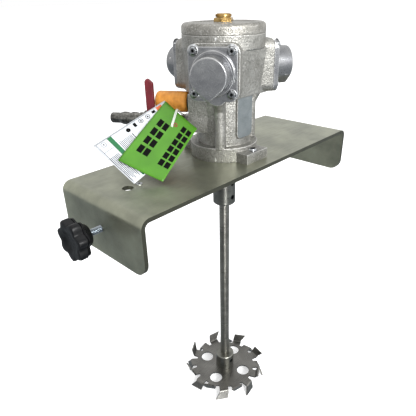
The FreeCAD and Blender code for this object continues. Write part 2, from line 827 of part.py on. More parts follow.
# Crankshaft: journal, web with counterweight, crank pin and output end
def crankShape():
    journal = float(bearingBore) / 2
    webLow = float(above(crankFloor)) + 1
    webHigh = webLow + float(webThick)
    throw = direction(throwTurn) * float(throwLength)
    pinTall = 21.0
    shaft = Part.makeCylinder(journal, webLow - float(plateThick), V(0, 0, float(plateThick)))
    output = Part.makeCylinder(float(outputShaft) / 2, float(plateThick) + 30, V(0, 0, -30))
    web = Part.makeCylinder(float(webReach) * 0.62, float(webThick), V(0, 0, webLow))
    weight = Part.makeCylinder(float(webReach), float(webThick), V(0, 0, webLow), V(0, 0, 1), 130)
    weight.rotate(V(0, 0, 0), V(0, 0, 1), throwTurn + 180 - 65)
    pin = Part.makeCylinder(float(crankPin) / 2, pinTall, V(throw.x, throw.y, webHigh))
    return shaft.fuse([output, web, weight, pin]).removeSplitter()


node(feature("crankshaft", crankShape()))
ringTall = asSize(16)
throwX, throwY = outward(throwTurn, throwLength)
ringFoot = above(cylinderHeight) - ringTall / 2
node(place(turnedBody("crank_ring", [
    (crankPin / 2 + 0.01, 0), (crankRing / 2, 0), (crankRing / 2, ringTall),
    (crankPin / 2 + 0.01, ringTall)]), throwX, throwY, ringFoot))


# Coupling between the motor shaft and the mixing shaft
def crossScrews(label, heights, outerRadius, innerRadius, thread):
    """Hexagon-socket set screws that point towards -Y."""
    screws = []
    for height in heights:
        long = float(outerRadius) - float(innerRadius) - 0.4
        foot = V(0, -float(innerRadius), float(height))
        body = Part.makeCylinder(float(thread) / 2, long, foot, V(0, -1, 0))
        socket = Part.makeCylinder(float(thread) * 0.27, long * 0.6, foot - V(0, long * 0.45, 0), V(0, -1, 0))
        screws.append(body.cut(socket))
    return feature(label, Part.Compound(screws))


shaftTop = plateThick - couplingEnd + shaftInset
couplingLow = plateThick - couplingEnd
couplingHigh = plateThick + couplingTop - 8
couplingTall = couplingHigh - couplingLow
couplingRadius = couplingOuter / 2
bore = outputShaft / 2 + 0.01
shaftRadius = shaftDiameter / 2
coupling = newBody("shaft_coupling")
spun(coupling, [
    (shaftRadius + 0.01, 0), (couplingRadius - 1.5, 0), (couplingRadius, 1.5),
    (couplingRadius, couplingTall - 1), (couplingRadius - 1, couplingTall), (bore, couplingTall),
    (bore, shaftInset + 1), (shaftRadius + 0.01, shaftInset + 1)])
lowScrew = asSize(10)
screwStep = asSize(17)
screwHeights = [lowScrew, lowScrew + screwStep]


def screwHoles(sketch):
    for height in screwHeights:
        addCircle(sketch, setScrew / 2, 0, height)


pocketed(coupling, screwHoles, role="XZ_Plane", depth=couplingRadius + 1, backward=True)
node(place(coupling, z=couplingLow))
node(crossScrews("coupling_screws", [float(couplingLow + height) for height in screwHeights],
                 couplingRadius, outputShaft / 2, setScrew))

# Mixing shaft and hub
discTop = plateThick - discDepth + discThick / 2
shaftLow = discTop - discThick - 1
node(place(turnedBody("mixing_shaft", [
    (0, 0), (shaftRadius - 0.8, 0), (shaftRadius, 0.8), (shaftRadius, shaftTop - shaftLow),
    (0, shaftTop - shaftLow)]), z=shaftLow))
hubRadius = hubOuter / 2
hubScrewHeight = hubTall * 0.6
hub = turnedBody("impeller_hub", [
    (shaftRadius + 0.01, 0), (hubRadius, 0), (hubRadius, hubTall - 0.8), (hubRadius - 0.8, hubTall),
    (shaftRadius + 0.01, hubTall)])
pocketed(hub, lambda sketch: addCircle(sketch, setScrew / 2, 0, hubScrewHeight), role="XZ_Plane",
         depth=hubRadius + 1, backward=True)
node(place(hub, z=discTop))
node(crossScrews("hub_screw", [float(discTop + hubScrewHeight)], hubRadius, shaftRadius, setScrew))


# Toothed disc: sixteen teeth cut in one sheet and folded up and down by turns
def toothShape(upward):
    """One tooth: a flat root, a rolled bend and a flap, drawn with its middle on +X."""
    thick = float(discThick)
    inner = 1.4
    bend = float(toothBend)
    skew = math.radians(float(toothSkew))
    along = V(-math.sin(skew), math.cos(skew), 0)
    out = V(math.cos(skew), math.sin(skew), 0)
    tangent = (inner + thick / 2) * math.tan(math.radians(bend / 2))
    middle = V(float(toothFold) - tangent * math.cos(skew), tangent * math.sin(skew), 0)
    low, high = middle - along * 4.4, middle + along * 7.6
    rootLow = V(float(notchReach) - 3, -5.0, 0)
    rootHigh = V(float(notchReach) - 3, 7.2, 0)
    root = Part.Face(Part.makePolygon([rootLow, low, high, rootHigh, rootLow])).extrude(V(0, 0, thick))
    centre = V(0, 0, thick + inner)
    section = Part.Face(Part.makePolygon([
        low, high, high + V(0, 0, thick), low + V(0, 0, thick), low]))
    axisPoint = low + centre
    elbow = section.revolve(axisPoint, along * -1, bend)
    angle = math.radians(bend)
    rise = out * math.cos(angle) + V(0, 0, math.sin(angle))
    start = out * (inner + thick) * math.sin(angle) + V(0, 0, (inner + thick) * (1 - math.cos(angle)))
    normal = out * -math.sin(angle) + V(0, 0, math.cos(angle))
    tall = float(toothTall) - tangent
    corners = [low + start, high + start, middle + along * 5.8 + start + rise * (tall + 0.1),
               middle - along * 10.9 + start + rise * tall]
    flap = Part.Face(Part.makePolygon(corners + corners[:1])).extrude(normal * thick)
    tooth = root.fuse([elbow, flap])
    if not upward:
        tooth = tooth.mirror(V(0, 0, thick / 2), V(0, 0, 1))
    return tooth


def discShape():
    thick = float(discThick)
    disc = Part.makeCylinder(float(notchReach), thick)
    step = 360 / toothCount
    teeth = {True: toothShape(True), False: toothShape(False)}
    pieces = []
    for count in range(toothCount):
        tooth = teeth[count % 2 == 1].copy()
        tooth.rotate(V(0, 0, 0), V(0, 0, 1), toothStart + step * count)
        pieces.append(tooth)
    disc = disc.fuse(pieces)
    holes = [Part.makeCylinder(float(shaftRadius) + 0.01, thick * 3, V(0, 0, -thick))]
    for quarter in range(4):
        spot = direction(holeStart + 90 * quarter) * float(washReach)
        holes.append(Part.makeCylinder(float(washHole) / 2, thick * 3, V(spot.x, spot.y, -thick)))
    return disc.cut(holes).removeSplitter()


toothStart = -142.5
holeStart = 16.0
disc = feature("toothed_disc", discShape())
disc.Placement = FreeCAD.Placement(V(0, 0, float(discTop - discThick)), FreeCAD.Rotation())
node(disc)


# Base bolts in the two lugs
def baseBolts():
    bolts = []
    head = float(lugBolt) * 0.76
    tall = float(lugBolt) * 0.64
    for side in (-1, 1):
        foot = V(0, side * float(lugBoltReach), 0.4)
        seat = float(above(lugHeight))
        shank = Part.makeCylinder(float(lugBolt) / 2, seat - 0.4, foot)
        cap = Part.makeCylinder(head, tall, V(foot.x, foot.y, seat))
        socket = Part.makeCylinder(float(lugBolt) * 0.42, 2.5, V(foot.x, foot.y, seat + tall - 2.2))
        bolts.append(shank.fuse(cap).cut(socket))
    return Part.Compound(bolts)


node(feature("base_bolts", baseBolts()))


# Clamping screw, nut, pad and star knob, all on one line along X
half = plateLength / 2
clampHeight = plateThick - clampDepth
toJaw = FreeCAD.Rotation(V(0, 1, 0), 90)
nutFace = plateThick - half


def makeClamp():
    nut = newBody("clamp_nut")

    def nutOutline(sketch):
        addPolygon(sketch, hexagon(clampNutWidth))
        addCircle(sketch, clampThread / 2 + seatGap)

    padded(nut, nutOutline, clampNutThick)
    node(place(nut, nutFace, 0, clampHeight, toJaw))
    screwStart = -(half + knobGap)
    screwEnd = screwStart + clampLength
    thread = clampThread / 2
    node(place(turnedBody("clamp_screw", [
        (0, -12), (thread, -12), (thread, clampLength - 3), (thread - 1, clampLength - 2),
        (thread - 1, clampLength), (thread, clampLength + 1), (thread - 0.8, clampLength + 2),
        (0, clampLength + 2)]), screwStart, 0, clampHeight, toJaw))
    padHole = thread + seatGap
    node(place(turnedBody("clamp_pad", [
        (0, padThick - 1.5), (padHole, padThick - 1.5), (padHole, 0.9), (thread - 1 + seatGap, 0.9),
        (thread - 1 + seatGap, 0), (padSize / 3, 0), (padSize / 2, 2.4), (padSize / 2, padThick),
        (0, padThick)]), screwEnd - 2, 0, clampHeight, toJaw))
    return screwStart


def knobShape():
    """A star grip with seven lobes, a slightly domed face and a tapered hub."""
    lobes = 7
    reach = float(knobReach)
    valley = reach * 0.84
    points = []
    for count in range(lobes * 2):
        turn = math.radians(360 / lobes / 2 * count + 8)
        radius = reach if count % 2 == 0 else valley
        points.append(V(radius * math.cos(turn), radius * math.sin(turn), 0))
    edges = []
    total = len(points)
    for count in range(lobes):
        before = points[(2 * count - 1) % total]
        tip = points[2 * count]
        after = points[2 * count + 1]
        edges.append(Part.Arc(before, tip, after).toShape())
    star = Part.Face(Part.Wire(edges)).extrude(V(0, 0, float(knobThick)))
    dome = Part.makeSphere(reach * 2.6, V(0, 0, reach * 2.6 - 0.6))
    star = star.common(dome)
    hub = Part.makeCone(float(knobHub) / 2 + 3, float(knobHub) / 2, float(knobHubLong), V(0, 0, float(knobThick)))
    bore = Part.makeCylinder(float(clampThread) / 2, 13, V(0, 0, float(knobThick + knobHubLong) - 12))
    return star.fuse(hub).cut(bore)


screwStart = makeClamp()
knob = feature("star_knob", knobShape())
knob.Placement = FreeCAD.Placement(
    V(float(screwStart - knobThick - knobHubLong), 0, float(clampHeight)), toJaw)
node(knob)

# Air line: silencer above, inlet with ball valve below
portSpin = facing(portTurn)
silencerRadius = silencerOuter / 2
collar = turnedBody("silencer_adapter", [
    (3.5, portBlockReach - 8), (4.98, portBlockReach - 8), (4.98, portBlockReach),
    (8.6, portBlockReach), (8.6, silencerStart - 1.5), (6, silencerStart - 1.5), (6, silencerStart + 8),
    (3.5, silencerStart + 8)])
node(place(collar, z=above(silencerHeight), spin=portSpin))
silencer = turnedBody("silencer_body", [
    (6.02, silencerStart - 1.5), (silencerRadius - 1, silencerStart - 1.5), (silencerRadius, silencerStart),
    (silencerRadius, silencerEnd), (0, silencerEnd), (0, silencerEnd - 5), (6.02, silencerEnd - 5)])
rounded(silencer, 4.5, circleAt(silencerEnd, silencerRadius))
node(place(silencer, z=above(silencerHeight), spin=portSpin))


def makeNipple():
    body = newBody("inlet_nipple")
    radius = nippleOuter / 2
    bore = portBore / 2
    spun(body, [(bore, portBlockReach - 8), (4.98, portBlockReach - 8), (4.98, portBlockReach),
                (radius, portBlockReach + 0.5), (radius, valveStart), (4.98, valveStart),
                (4.98, valveStart + 8), (bore, valveStart + 8)])

    def hexRing(sketch):
        addPolygon(sketch, hexagon(nippleHex))
        addCircle(sketch, radius - 0.5)

    padded(body, hexRing, 7, lift=portBlockReach + 4)
    return node(place(body, z=above(inletHeight), spin=portSpin))


makeNipple()


# Ball valve: barrel with a six-sided end, ball, stem, lever, grip and nut
def valveShape():
    turn = V(0, 0, 1)
    start, middle, end = float(valveStart), float(valveMiddle), float(valveEnd)
    barrel = Part.makeCylinder(float(valveBarrel) / 2, end - start - 9, V(0, 0, start + 9), turn)
    rim = [edge for edge in barrel.Edges if isinstance(edge.Curve, Part.Circle)]
    barrel = barrel.makeFillet(1.2, rim)
    corner = float(valveHex) / math.sqrt(3)
    turns = [math.radians(30 + 60 * n) for n in range(7)]
    spots = [V(corner * math.cos(turn), corner * math.sin(turn), start) for turn in turns]
    nut = Part.Face(Part.makePolygon(spots)).extrude(V(0, 0, 9.5))
    tower = Part.makeCylinder(5, float(stemReach) - 4.0, V(0, 0, middle), stemWay)
    body = barrel.fuse([nut, tower]).removeSplitter()
    holes = [
        Part.makeCylinder(4.98, 8.2, V(0, 0, start)),
        Part.makeCylinder(float(portBore) / 2, end - start, V(0, 0, start)),
        Part.makeSphere(float(ballSize) / 2 + float(seatGap), V(0, 0, middle)),
        Part.makeCylinder(float(stemSize) / 2 + float(runFit), 20, V(0, 0, middle), stemWay),
        Part.makeCylinder(4.98, 6.2, V(0, 0, end - 6.2)),
    ]
    return body.cut(holes)


# In the valve's own frame the line runs along Z and the stem towards the front
stemReach = Size(13.5, "13.5")
stemWay = V(0, 1, 0)
valveFrame = FreeCAD.Placement(V(0, 0, float(above(inletHeight))), portSpin)


def valveNode(label, shape):
    item = feature(label, shape)
    item.Placement = valveFrame
    return node(item)


def ballShape():
    middle = V(0, 0, float(valveMiddle))
    ball = Part.makeSphere(float(ballSize) / 2, middle)
    hole = Part.makeCylinder(float(portBore) / 2, float(ballSize) + 2,
                             middle - V(float(ballSize) / 2 + 1, 0, 0), V(1, 0, 0))
    slot = Part.makeBox(2.8, 4, 8, middle + V(-1.4, float(ballSize) / 2 - 2, -4))
    return ball.cut([hole, slot])


def stemShape():
    middle = V(0, 0, float(valveMiddle))
    start = float(ballSize) / 2 - 1.8
    long = float(stemReach) + 4.5 - start
    stem = Part.makeCylinder(float(stemSize) / 2, long, middle + stemWay * start, stemWay)
    sides = [Part.makeBox(4, 2, 8, middle + V(side, start, -4)) for side in (1.3, -5.3)]
    return stem.cut(sides)


def leverShape():
    """A flat strap that points up from the stem, with a round eye at its foot."""
    wide, thick = float(leverWidth), float(leverThick)
    middle = V(0, 0, float(valveMiddle)) + stemWay * float(stemReach)
    eye = Part.makeCylinder(wide / 2 + 1.5, thick, middle, stemWay)
    corner = middle + V(-float(leverLength) + 8, 0, -wide / 2)
    strap = Part.makeBox(float(leverLength) - 8, thick, wide, corner)
    hole = Part.makeCylinder(float(stemSize) / 2, thick + 2, middle - stemWay, stemWay)
    return eye.fuse(strap).removeSplitter().cut(hole)


def gripShape():
    """The soft sleeve on the lever, with a rounded top."""
    wide, thick = float(gripWidth), float(gripThick)
    middle = V(0, 0, float(valveMiddle)) + stemWay * (float(stemReach) + float(leverThick) / 2)
    start = 10.0
    long = float(leverLength) - start
    sleeveShape = Part.makeBox(long, thick, wide, middle + V(-float(leverLength), -thick / 2, -wide / 2))
    tip = [edge for edge in sleeveShape.Edges
           if edge.BoundBox.YLength > thick - 0.1 and edge.BoundBox.XMax < -float(leverLength) + 0.1]
    sleeveShape = sleeveShape.makeFillet(wide * 0.42, tip)
    rims = [edge for edge in sleeveShape.Edges if edge.BoundBox.YLength < 0.01 and edge.BoundBox.XLength > 1]
    sleeveShape = sleeveShape.makeFillet(1.2, rims)
    wide, thick = float(leverWidth), float(leverThick)
    pocket = Part.makeBox(float(leverLength) - 8 - start + 1, thick, wide,
                          middle + V(-float(leverLength) + 8, -thick / 2, -wide / 2))
    top, side = -float(leverLength), float(gripWidth) / 2
    corners = [middle + V(x, -10, z) for x, z in (
        (top - 1, side - 2.6), (top - 1, -side - 1), (top + 5.5, -side - 1), (top - 1, side - 2.6))]
    slant = Part.Face(Part.makePolygon(corners)).extrude(V(0, 20, 0))
    return sleeveShape.cut([pocket, slant])


def leverNutShape():
    middle = V(0, 0, float(valveMiddle)) + stemWay * (float(stemReach) + float(leverThick))
    corner = 8 / math.sqrt(3)
    spots = [middle + V(corner * math.cos(math.radians(60 * n)), 0, corner * math.sin(math.radians(60 * n)))
             for n in range(7)]
    nut = Part.Face(Part.makePolygon(spots)).extrude(stemWay * 2.4)
    return nut.cut(Part.makeCylinder(float(stemSize) / 2, 6, middle - stemWay, stemWay))


for label, shape in (("valve_body", valveShape()), ("valve_ball", ballShape()), ("valve_stem", stemShape()),
                     ("valve_lever", leverShape()), ("lever_grip", gripShape()), ("lever_nut", leverNutShape())):
    valveNode(label, shape)

# Plug of the quick coupling at the end of the inlet
plugBore = asSize(3)
plugLong = plugEnd - valveEnd
plugSteps = ((7.2, 0), (7.2, 0.126), (6.4, 0.164), (7.3, 0.252), (7.3, 0.353), (6.2, 0.428), (7.2, 0.529),
             (7.2, 0.63), (5.9, 0.73), (5.9, 0.97), (5.1, 1))
plugProfile = [(plugBore, valveEnd - 6), (4.96, valveEnd - 6), (4.96, valveEnd)]
plugProfile += [(radius, valveEnd + plugLong * share) for radius, share in plugSteps]
plugProfile += [(plugBore, plugEnd)]
node(place(turnedBody("quick_plug", plugProfile), z=above(inletHeight), spin=portSpin))


# Hanging cards: two flat sheets, one before the other, with a hole for their band
cardHang = float(inletHeight) / 33.3
cardNormal = V(-0.333 * cardHang, -0.442 * cardHang, 0.833).normalize()
tieReach = 44.3
tieWide = 2.4


def cardShape(corners, holeSpot):
    lift = V(0, 0, float(plateThick))
    spots = [V(corner.x, corner.y, corner.z * cardHang) + lift for corner in corners]
    base = spots[0]
    flat = [spot - cardNormal * (spot - base).dot(cardNormal) for spot in spots]
    solid = Part.Face(Part.makePolygon(flat + flat[:1])).extrude(cardNormal * float(cardThick))
    return solid.cut(Part.makeCylinder(2.4, 12, holeSpot + lift - cardNormal * 6, cardNormal))


tieHole = direction(210) * 43 + direction(portTurn) * tieReach + V(0, 0, 38 * cardHang)
tagCorners = [V(-44.7, 41.7, 57), V(-42.4, -1.4, 35.1), V(-104.6, -17.4, 1.7), V(-121.9, 25.4, 17.5)]
leafletCorners = [V(-43.3, 44, 56.4), V(-42, 0.6, 33.8), V(-56.4, -3.4, 25.8), V(-124.1, -0.3, 0.6),
                  V(-127.4, 53.3, 27.7)]
node(feature("inspection_tag", cardShape(tagCorners, tieHole)))
node(feature("instruction_leaflet", cardShape(leafletCorners, tieHole - V(0, 0, 2.46))))


def tieShape():
    """A flat clear band: round the inlet nipple, over both cards, down their holes and back."""
    start = direction(portTurn) * (tieReach - tieWide / 2) + V(0, 0, float(above(inletHeight)))
    across, up = direction(210), V(0, 0, 1)
    round = float(nippleOuter) / 2 + 0.6
    path = [(2.5, -6.1), (41.5, -1.2), (43.4, 1.2), (43.6, 3.8), (42.2, 6.4), (24.3, 17.4), (2.5, 6.1)]
    spots = [start + across * run + up * rise for run, rise in path]
    strands = Part.Face(Part.makePolygon(spots + spots[:1]))
    hoop = Part.Face(Part.Wire(Part.makeCircle(round, start, direction(portTurn))))
    inside = strands.fuse(hoop).removeSplitter().Faces[0]
    outside = inside.makeOffset2D(0.8)
    return outside.cut(inside).extrude(direction(portTurn) * tieWide)


node(feature("tag_tie", tieShape()))

doc.recompute()
for item in doc.Objects:
    if "Invalid" in item.State or "Error" in item.State:
        raise RuntimeError(item.Label + " failed to build")
for item in nodes:
    shape = item.Shape
    if shape.isNull() or not shape.isValid() or not shape.Solids:
        raise RuntimeError(item.Label + " has no sound solid")
os.makedirs("parts", exist_ok=True)
for item in nodes:
    item.Shape.exportStep("parts/" + item.Label + ".step")
    print(item.Label, len(item.Shape.Solids), round(item.Shape.Volume, 1))
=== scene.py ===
import math

import bmesh
import bpy
from mathutils import Matrix, Vector


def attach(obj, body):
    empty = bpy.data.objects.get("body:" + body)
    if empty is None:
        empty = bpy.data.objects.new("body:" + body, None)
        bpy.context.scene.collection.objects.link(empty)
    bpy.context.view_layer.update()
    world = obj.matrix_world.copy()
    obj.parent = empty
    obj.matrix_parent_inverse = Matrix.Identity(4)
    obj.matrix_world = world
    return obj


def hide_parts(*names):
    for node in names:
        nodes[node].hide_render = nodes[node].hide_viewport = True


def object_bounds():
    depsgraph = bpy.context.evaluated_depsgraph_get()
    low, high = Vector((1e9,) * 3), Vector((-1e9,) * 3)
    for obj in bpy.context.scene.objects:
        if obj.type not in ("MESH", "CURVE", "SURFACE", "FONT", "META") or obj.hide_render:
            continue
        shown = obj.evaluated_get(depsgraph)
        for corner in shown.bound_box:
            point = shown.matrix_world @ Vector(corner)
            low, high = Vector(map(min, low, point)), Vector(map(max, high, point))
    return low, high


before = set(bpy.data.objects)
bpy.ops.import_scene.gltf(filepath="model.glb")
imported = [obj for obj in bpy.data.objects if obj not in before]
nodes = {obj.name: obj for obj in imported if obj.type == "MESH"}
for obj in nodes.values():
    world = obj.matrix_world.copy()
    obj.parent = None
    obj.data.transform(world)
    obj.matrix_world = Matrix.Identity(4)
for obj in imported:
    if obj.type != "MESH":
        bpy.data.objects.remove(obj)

mm = 0.001
cadBounds = [list(corner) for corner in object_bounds()]
plateTop = 4 * mm    # the cards are measured from the clamp plate's top


def polar(degrees, reach=1.0):
    turn = math.radians(degrees)
    return Vector((math.cos(turn) * reach, math.sin(turn) * reach, 0))


def hexColour(code):
    # sRGB hex to the linear colour that a shader reads
    parts = [int(code[place:place + 2], 16) / 255 for place in (1, 3, 5)]
    return [part / 12.92 if part <= 0.04045 else ((part + 0.055) / 1.055) ** 2.4 for part in parts] + [1]


def grain(size):
    # texture scale for a grain of so many millimetres
    return 1 / (size * mm)


def addNode(tree, kind, settings=None, links=None):
    node = tree.nodes.new(kind)
    for name, value in (settings or {}).items():
        if isinstance(name, int) or name in node.inputs:
            node.inputs[name].default_value = value
        else:
            setattr(node, name, value)
    for name, source in (links or {}).items():
        tree.links.new(source, node.inputs[name])
    return node


def startMaterial(name, look, **sockets):
    material = bpy.data.materials.new(name)
    material.use_nodes = True
    tree = material.node_tree
    tree.nodes.clear()
    shader = addNode(tree, "ShaderNodeBsdfPrincipled", {
        "Base Color": hexColour(look["colour"]), "Metallic": look.get("metallic", 0.0),
        "Roughness": look["rough"]})
    for socket, value in sockets.items():
        shader.inputs[socket.replace("_", " ")].default_value = value
    addNode(tree, "ShaderNodeOutputMaterial", links={"Surface": shader.outputs[0]})
    place = addNode(tree, "ShaderNodeTexCoord").outputs["Object"]
    return material, tree, shader, place


noiseSpan = (0.3, 0.7)    # where most of a noise texture's values lie


def cloudedColour(tree, place, look, size, detail=3, span=(0.35, 0.65), rough=0.5):
    # the finish's two tones drift into each other, in clouds of so many millimetres
    cloud = addNode(tree, "ShaderNodeTexNoise", {"Scale": grain(size), "Detail": detail, "Roughness": rough},
                    {"Vector": place})
    even = addNode(tree, "ShaderNodeMapRange", {"From Min": span[0], "From Max": span[1]},
                   {"Value": cloud.outputs["Fac"]})
    tone = addNode(tree, "ShaderNodeMix", {
        "data_type": "RGBA", 6: hexColour(look["colour"]), 7: hexColour(look["shade"])},
        {"Factor": even.outputs[0]})
    return tone.outputs[2]


def fineRelief(tree, shader, look, height, strength, deep, less=0.05, more=0.08):
    # one fine grain both breaks up the gloss and dents the surface
    gloss = addNode(tree, "ShaderNodeMapRange", {
        "From Min": noiseSpan[0], "From Max": noiseSpan[1], "To Min": look["rough"] - less,
        "To Max": look["rough"] + more}, {"Value": height})
    tree.links.new(gloss.outputs[0], shader.inputs["Roughness"])
    bump = addNode(tree, "ShaderNodeBump", {"Strength": strength, "Distance": deep * mm}, {"Height": height})
    tree.links.new(bump.outputs[0], shader.inputs["Normal"])


def castAluminium(name, look):
    # cast and blasted: dull grey and pebbled, with painted highlights: bright points painted on the pebbles'
    # tops where the skin's facets catch the light
    material, tree, shader, place = startMaterial(name, look)
    # real blasting grit is 0.2 mm, drawn at the coarser grit size of the look so that it shows
    pebble = addNode(tree, "ShaderNodeTexNoise", {
        "Scale": grain(look["grit"]), "Detail": 2, "Roughness": 0.6}, {"Vector": place}).outputs["Fac"]
    # painted highlight: the tops of the pebble grain are lightened towards the glint tint
    start, end = look["topSpan"]
    tops = addNode(tree, "ShaderNodeMapRange", {
        "From Min": start, "From Max": end, "To Max": look["shine"]}, {"Value": pebble})
    # painted shade: the hollows of the pebble grain are darkened towards a dark grey
    start, end = look["pitSpan"]
    pits = addNode(tree, "ShaderNodeMapRange", {
        "From Min": start, "From Max": end, "To Min": look["pit"], "To Max": 0}, {"Value": pebble})
    # painted highlight: the sharpest corners are lightened almost to white; painted shade: the creases are
    # darkened to a dark grey
    bend = addNode(tree, "ShaderNodeNewGeometry").outputs["Pointiness"]
    ridges = addNode(tree, "ShaderNodeMapRange", {
        "From Min": look["edge"], "From Max": look["edge"] + look["edgeWidth"], "To Max": look["wear"]},
        {"Value": bend})
    # painted shade: concave creases are darkened towards a dark grey
    start, end = look["creaseSpan"]
    creases = addNode(tree, "ShaderNodeMapRange", {
        "From Min": start, "From Max": end, "To Max": look["dirt"]}, {"Value": bend})
    skin = cloudedColour(tree, place, look, look["cloud"])
    layers = ((tops, "point"), (pits, "pitTint"), (ridges, "wornTint"), (creases, "dirtTint"))
    for share, tint in layers:
        skin = addNode(tree, "ShaderNodeMix", {"data_type": "RGBA", 7: hexColour(look[tint])},
                       {"Factor": share.outputs[0], 6: skin}).outputs[2]
    tree.links.new(skin, shader.inputs["Base Color"])
    gloss = addNode(tree, "ShaderNodeMapRange", {
        "From Min": noiseSpan[0], "From Max": noiseSpan[1], "To Min": look["rough"] + 0.06,
        "To Max": look["rough"] - 0.05}, {"Value": pebble})
    tree.links.new(gloss.outputs[0], shader.inputs["Roughness"])
    swell = addNode(tree, "ShaderNodeTexNoise", {"Scale": grain(look["swell"]), "Detail": 2},
                    {"Vector": place})
    waves = addNode(tree, "ShaderNodeBump", {"Strength": 0.35, "Distance": look["swellDeep"] * mm},
                    {"Height": swell.outputs["Fac"]})
    bump = addNode(tree, "ShaderNodeBump", {"Strength": look["bump"], "Distance": look["deep"] * mm},
                   {"Height": pebble, "Normal": waves.outputs[0]})
    tree.links.new(bump.outputs[0], shader.inputs["Normal"])
    return material


def rolledSheet(name, look):
    # rolled sheet with a dull skin: cloudy, with faint rolling lines along X
    material, tree, shader, place = startMaterial(name, look)
    tone = cloudedColour(tree, place, look, look["cloud"], detail=6, span=(0.36, 0.64), rough=0.6)
    # cut edges and hole walls have no shine: they are the faces that look along Y
    facing = addNode(tree, "ShaderNodeTexCoord").outputs["Normal"]
    flat = addNode(tree, "ShaderNodeVectorMath", {"operation": "MULTIPLY", 1: (1, 0, 1)}, {0: facing})
    size = addNode(tree, "ShaderNodeVectorMath", {"operation": "LENGTH"}, {0: flat.outputs[0]})
    start, end = look["cutSpan"]
    edge = addNode(tree, "ShaderNodeMapRange", {"From Min": start, "From Max": end, "To Max": look["edge"]},
                   {"Value": size.outputs["Value"]})
    cut = addNode(tree, "ShaderNodeMix", {"data_type": "RGBA", 7: hexColour(look["cutTint"])},
                  {"Factor": edge.outputs[0], 6: tone})
    tree.links.new(cut.outputs[2], shader.inputs["Base Color"])
    drawn = addNode(tree, "ShaderNodeMapping", {"Scale": (look["stretch"], 1, 1)}, {"Vector": place})
    # real rolling lines are under 0.1 mm apart, drawn coarser so that they show
    lines = addNode(tree, "ShaderNodeTexNoise", {"Scale": grain(look["line"]), "Detail": 3},
                    {"Vector": drawn.outputs[0]})
    fineRelief(tree, shader, look, lines.outputs["Fac"], strength=0.2, deep=0.05)
    return material


def turnedBar(name, look):
    # turned on a lathe: fine rings across the axis, which pull the shine into a narrow band
    material, tree, shader, place = startMaterial(name, look)
    tree.links.new(cloudedColour(tree, place, look, look["cloud"]), shader.inputs["Base Color"])
    # the object's axis is turned onto Z, so that the rings stand across it
    along = addNode(tree, "ShaderNodeMapping", {"Rotation": look["axisTurn"]}, {"Vector": place})
    drawn = addNode(tree, "ShaderNodeMapping", {"Scale": (look["stretch"], look["stretch"], 1)},
                    {"Vector": along.outputs[0]})
    # real tool marks are 0.1 mm apart, drawn at the coarser pitch of the look
    rings = addNode(tree, "ShaderNodeTexNoise", {"Scale": grain(look["pitch"]), "Detail": 2},
                    {"Vector": drawn.outputs[0]})
    fineRelief(tree, shader, look, rings.outputs["Fac"], strength=0.25, deep=look["deep"], less=0.06)
    return material


def mouldedPlastic(name, look, **sockets):
    # moulded or dipped plastic: even colour, soft sheen and a faint grain
    material, tree, shader, place = startMaterial(name, look, **sockets)
    tone = cloudedColour(tree, place, look, size=9, span=(0.35, 0.7))
    tree.links.new(tone, shader.inputs["Base Color"])
    grit = addNode(tree, "ShaderNodeTexNoise", {"Scale": grain(look["grit"]), "Detail": 3}, {"Vector": place})
    fineRelief(tree, shader, look, grit.outputs["Fac"], strength=0.25, deep=0.06)
    return material


def sinteredPlastic(name, look):
    # porous plastic beads fused in a mould: grainy orange wall with a faint ribbed lattice
    material, tree, shader, place = startMaterial(name, look)
    turned = addNode(tree, "ShaderNodeMapping", {"Rotation": (0, 0, math.radians(-120))}, {"Vector": place})
    # a wave of this node repeats every 0.314 / scale
    ribs = addNode(tree, "ShaderNodeTexWave", {
        "wave_type": "BANDS", "bands_direction": "X", "Scale": 0.314159 * grain(look["rib"]),
        "Distortion": 0.6, "Detail": 1}, {"Vector": turned.outputs[0]})
    faint = addNode(tree, "ShaderNodeMapRange", {"To Min": 0, "To Max": 0.22}, {"Value": ribs.outputs["Fac"]})
    tone = cloudedColour(tree, place, look, size=7, detail=4, span=(0.42, 0.75))
    wall = addNode(tree, "ShaderNodeMix", {"data_type": "RGBA", 7: hexColour(look["shade"])},
                   {"Factor": faint.outputs[0], 6: tone})
    tree.links.new(wall.outputs[2], shader.inputs["Base Color"])
    # the beads are 0.1 to 0.3 mm, drawn at 0.7 mm so that the grain shows
    beads = addNode(tree, "ShaderNodeTexVoronoi", {"Scale": grain(0.7)}, {"Vector": place})
    beaded = addNode(tree, "ShaderNodeBump", {"Strength": 0.45, "Distance": 0.15 * mm},
                     {"Height": beads.outputs["Distance"]})
    bump = addNode(tree, "ShaderNodeBump", {"Strength": 0.25, "Distance": 0.12 * mm},
                   {"Height": ribs.outputs["Fac"], "Normal": beaded.outputs[0]})
    tree.links.new(bump.outputs[0], shader.inputs["Normal"])
    return material


def coatedCard(name, look):
    # printed card under a thin film: flat colour, low gloss, slightly wavy
    material, tree, shader, place = startMaterial(name, look, Coat_Weight=look["coat"], Coat_Roughness=0.2,
                                                  Specular_IOR_Level=look["specular"])
    tone = cloudedColour(tree, place, look, size=26, detail=2, span=(0.35, 0.7))
    tree.links.new(tone, shader.inputs["Base Color"])
    wave = addNode(tree, "ShaderNodeTexNoise", {"Scale": grain(9), "Detail": 2}, {"Vector": place})
    bump = addNode(tree, "ShaderNodeBump", {"Strength": 0.3, "Distance": 0.12 * mm},
                   {"Height": wave.outputs["Fac"]})
    tree.links.new(bump.outputs[0], shader.inputs["Normal"])
    return material


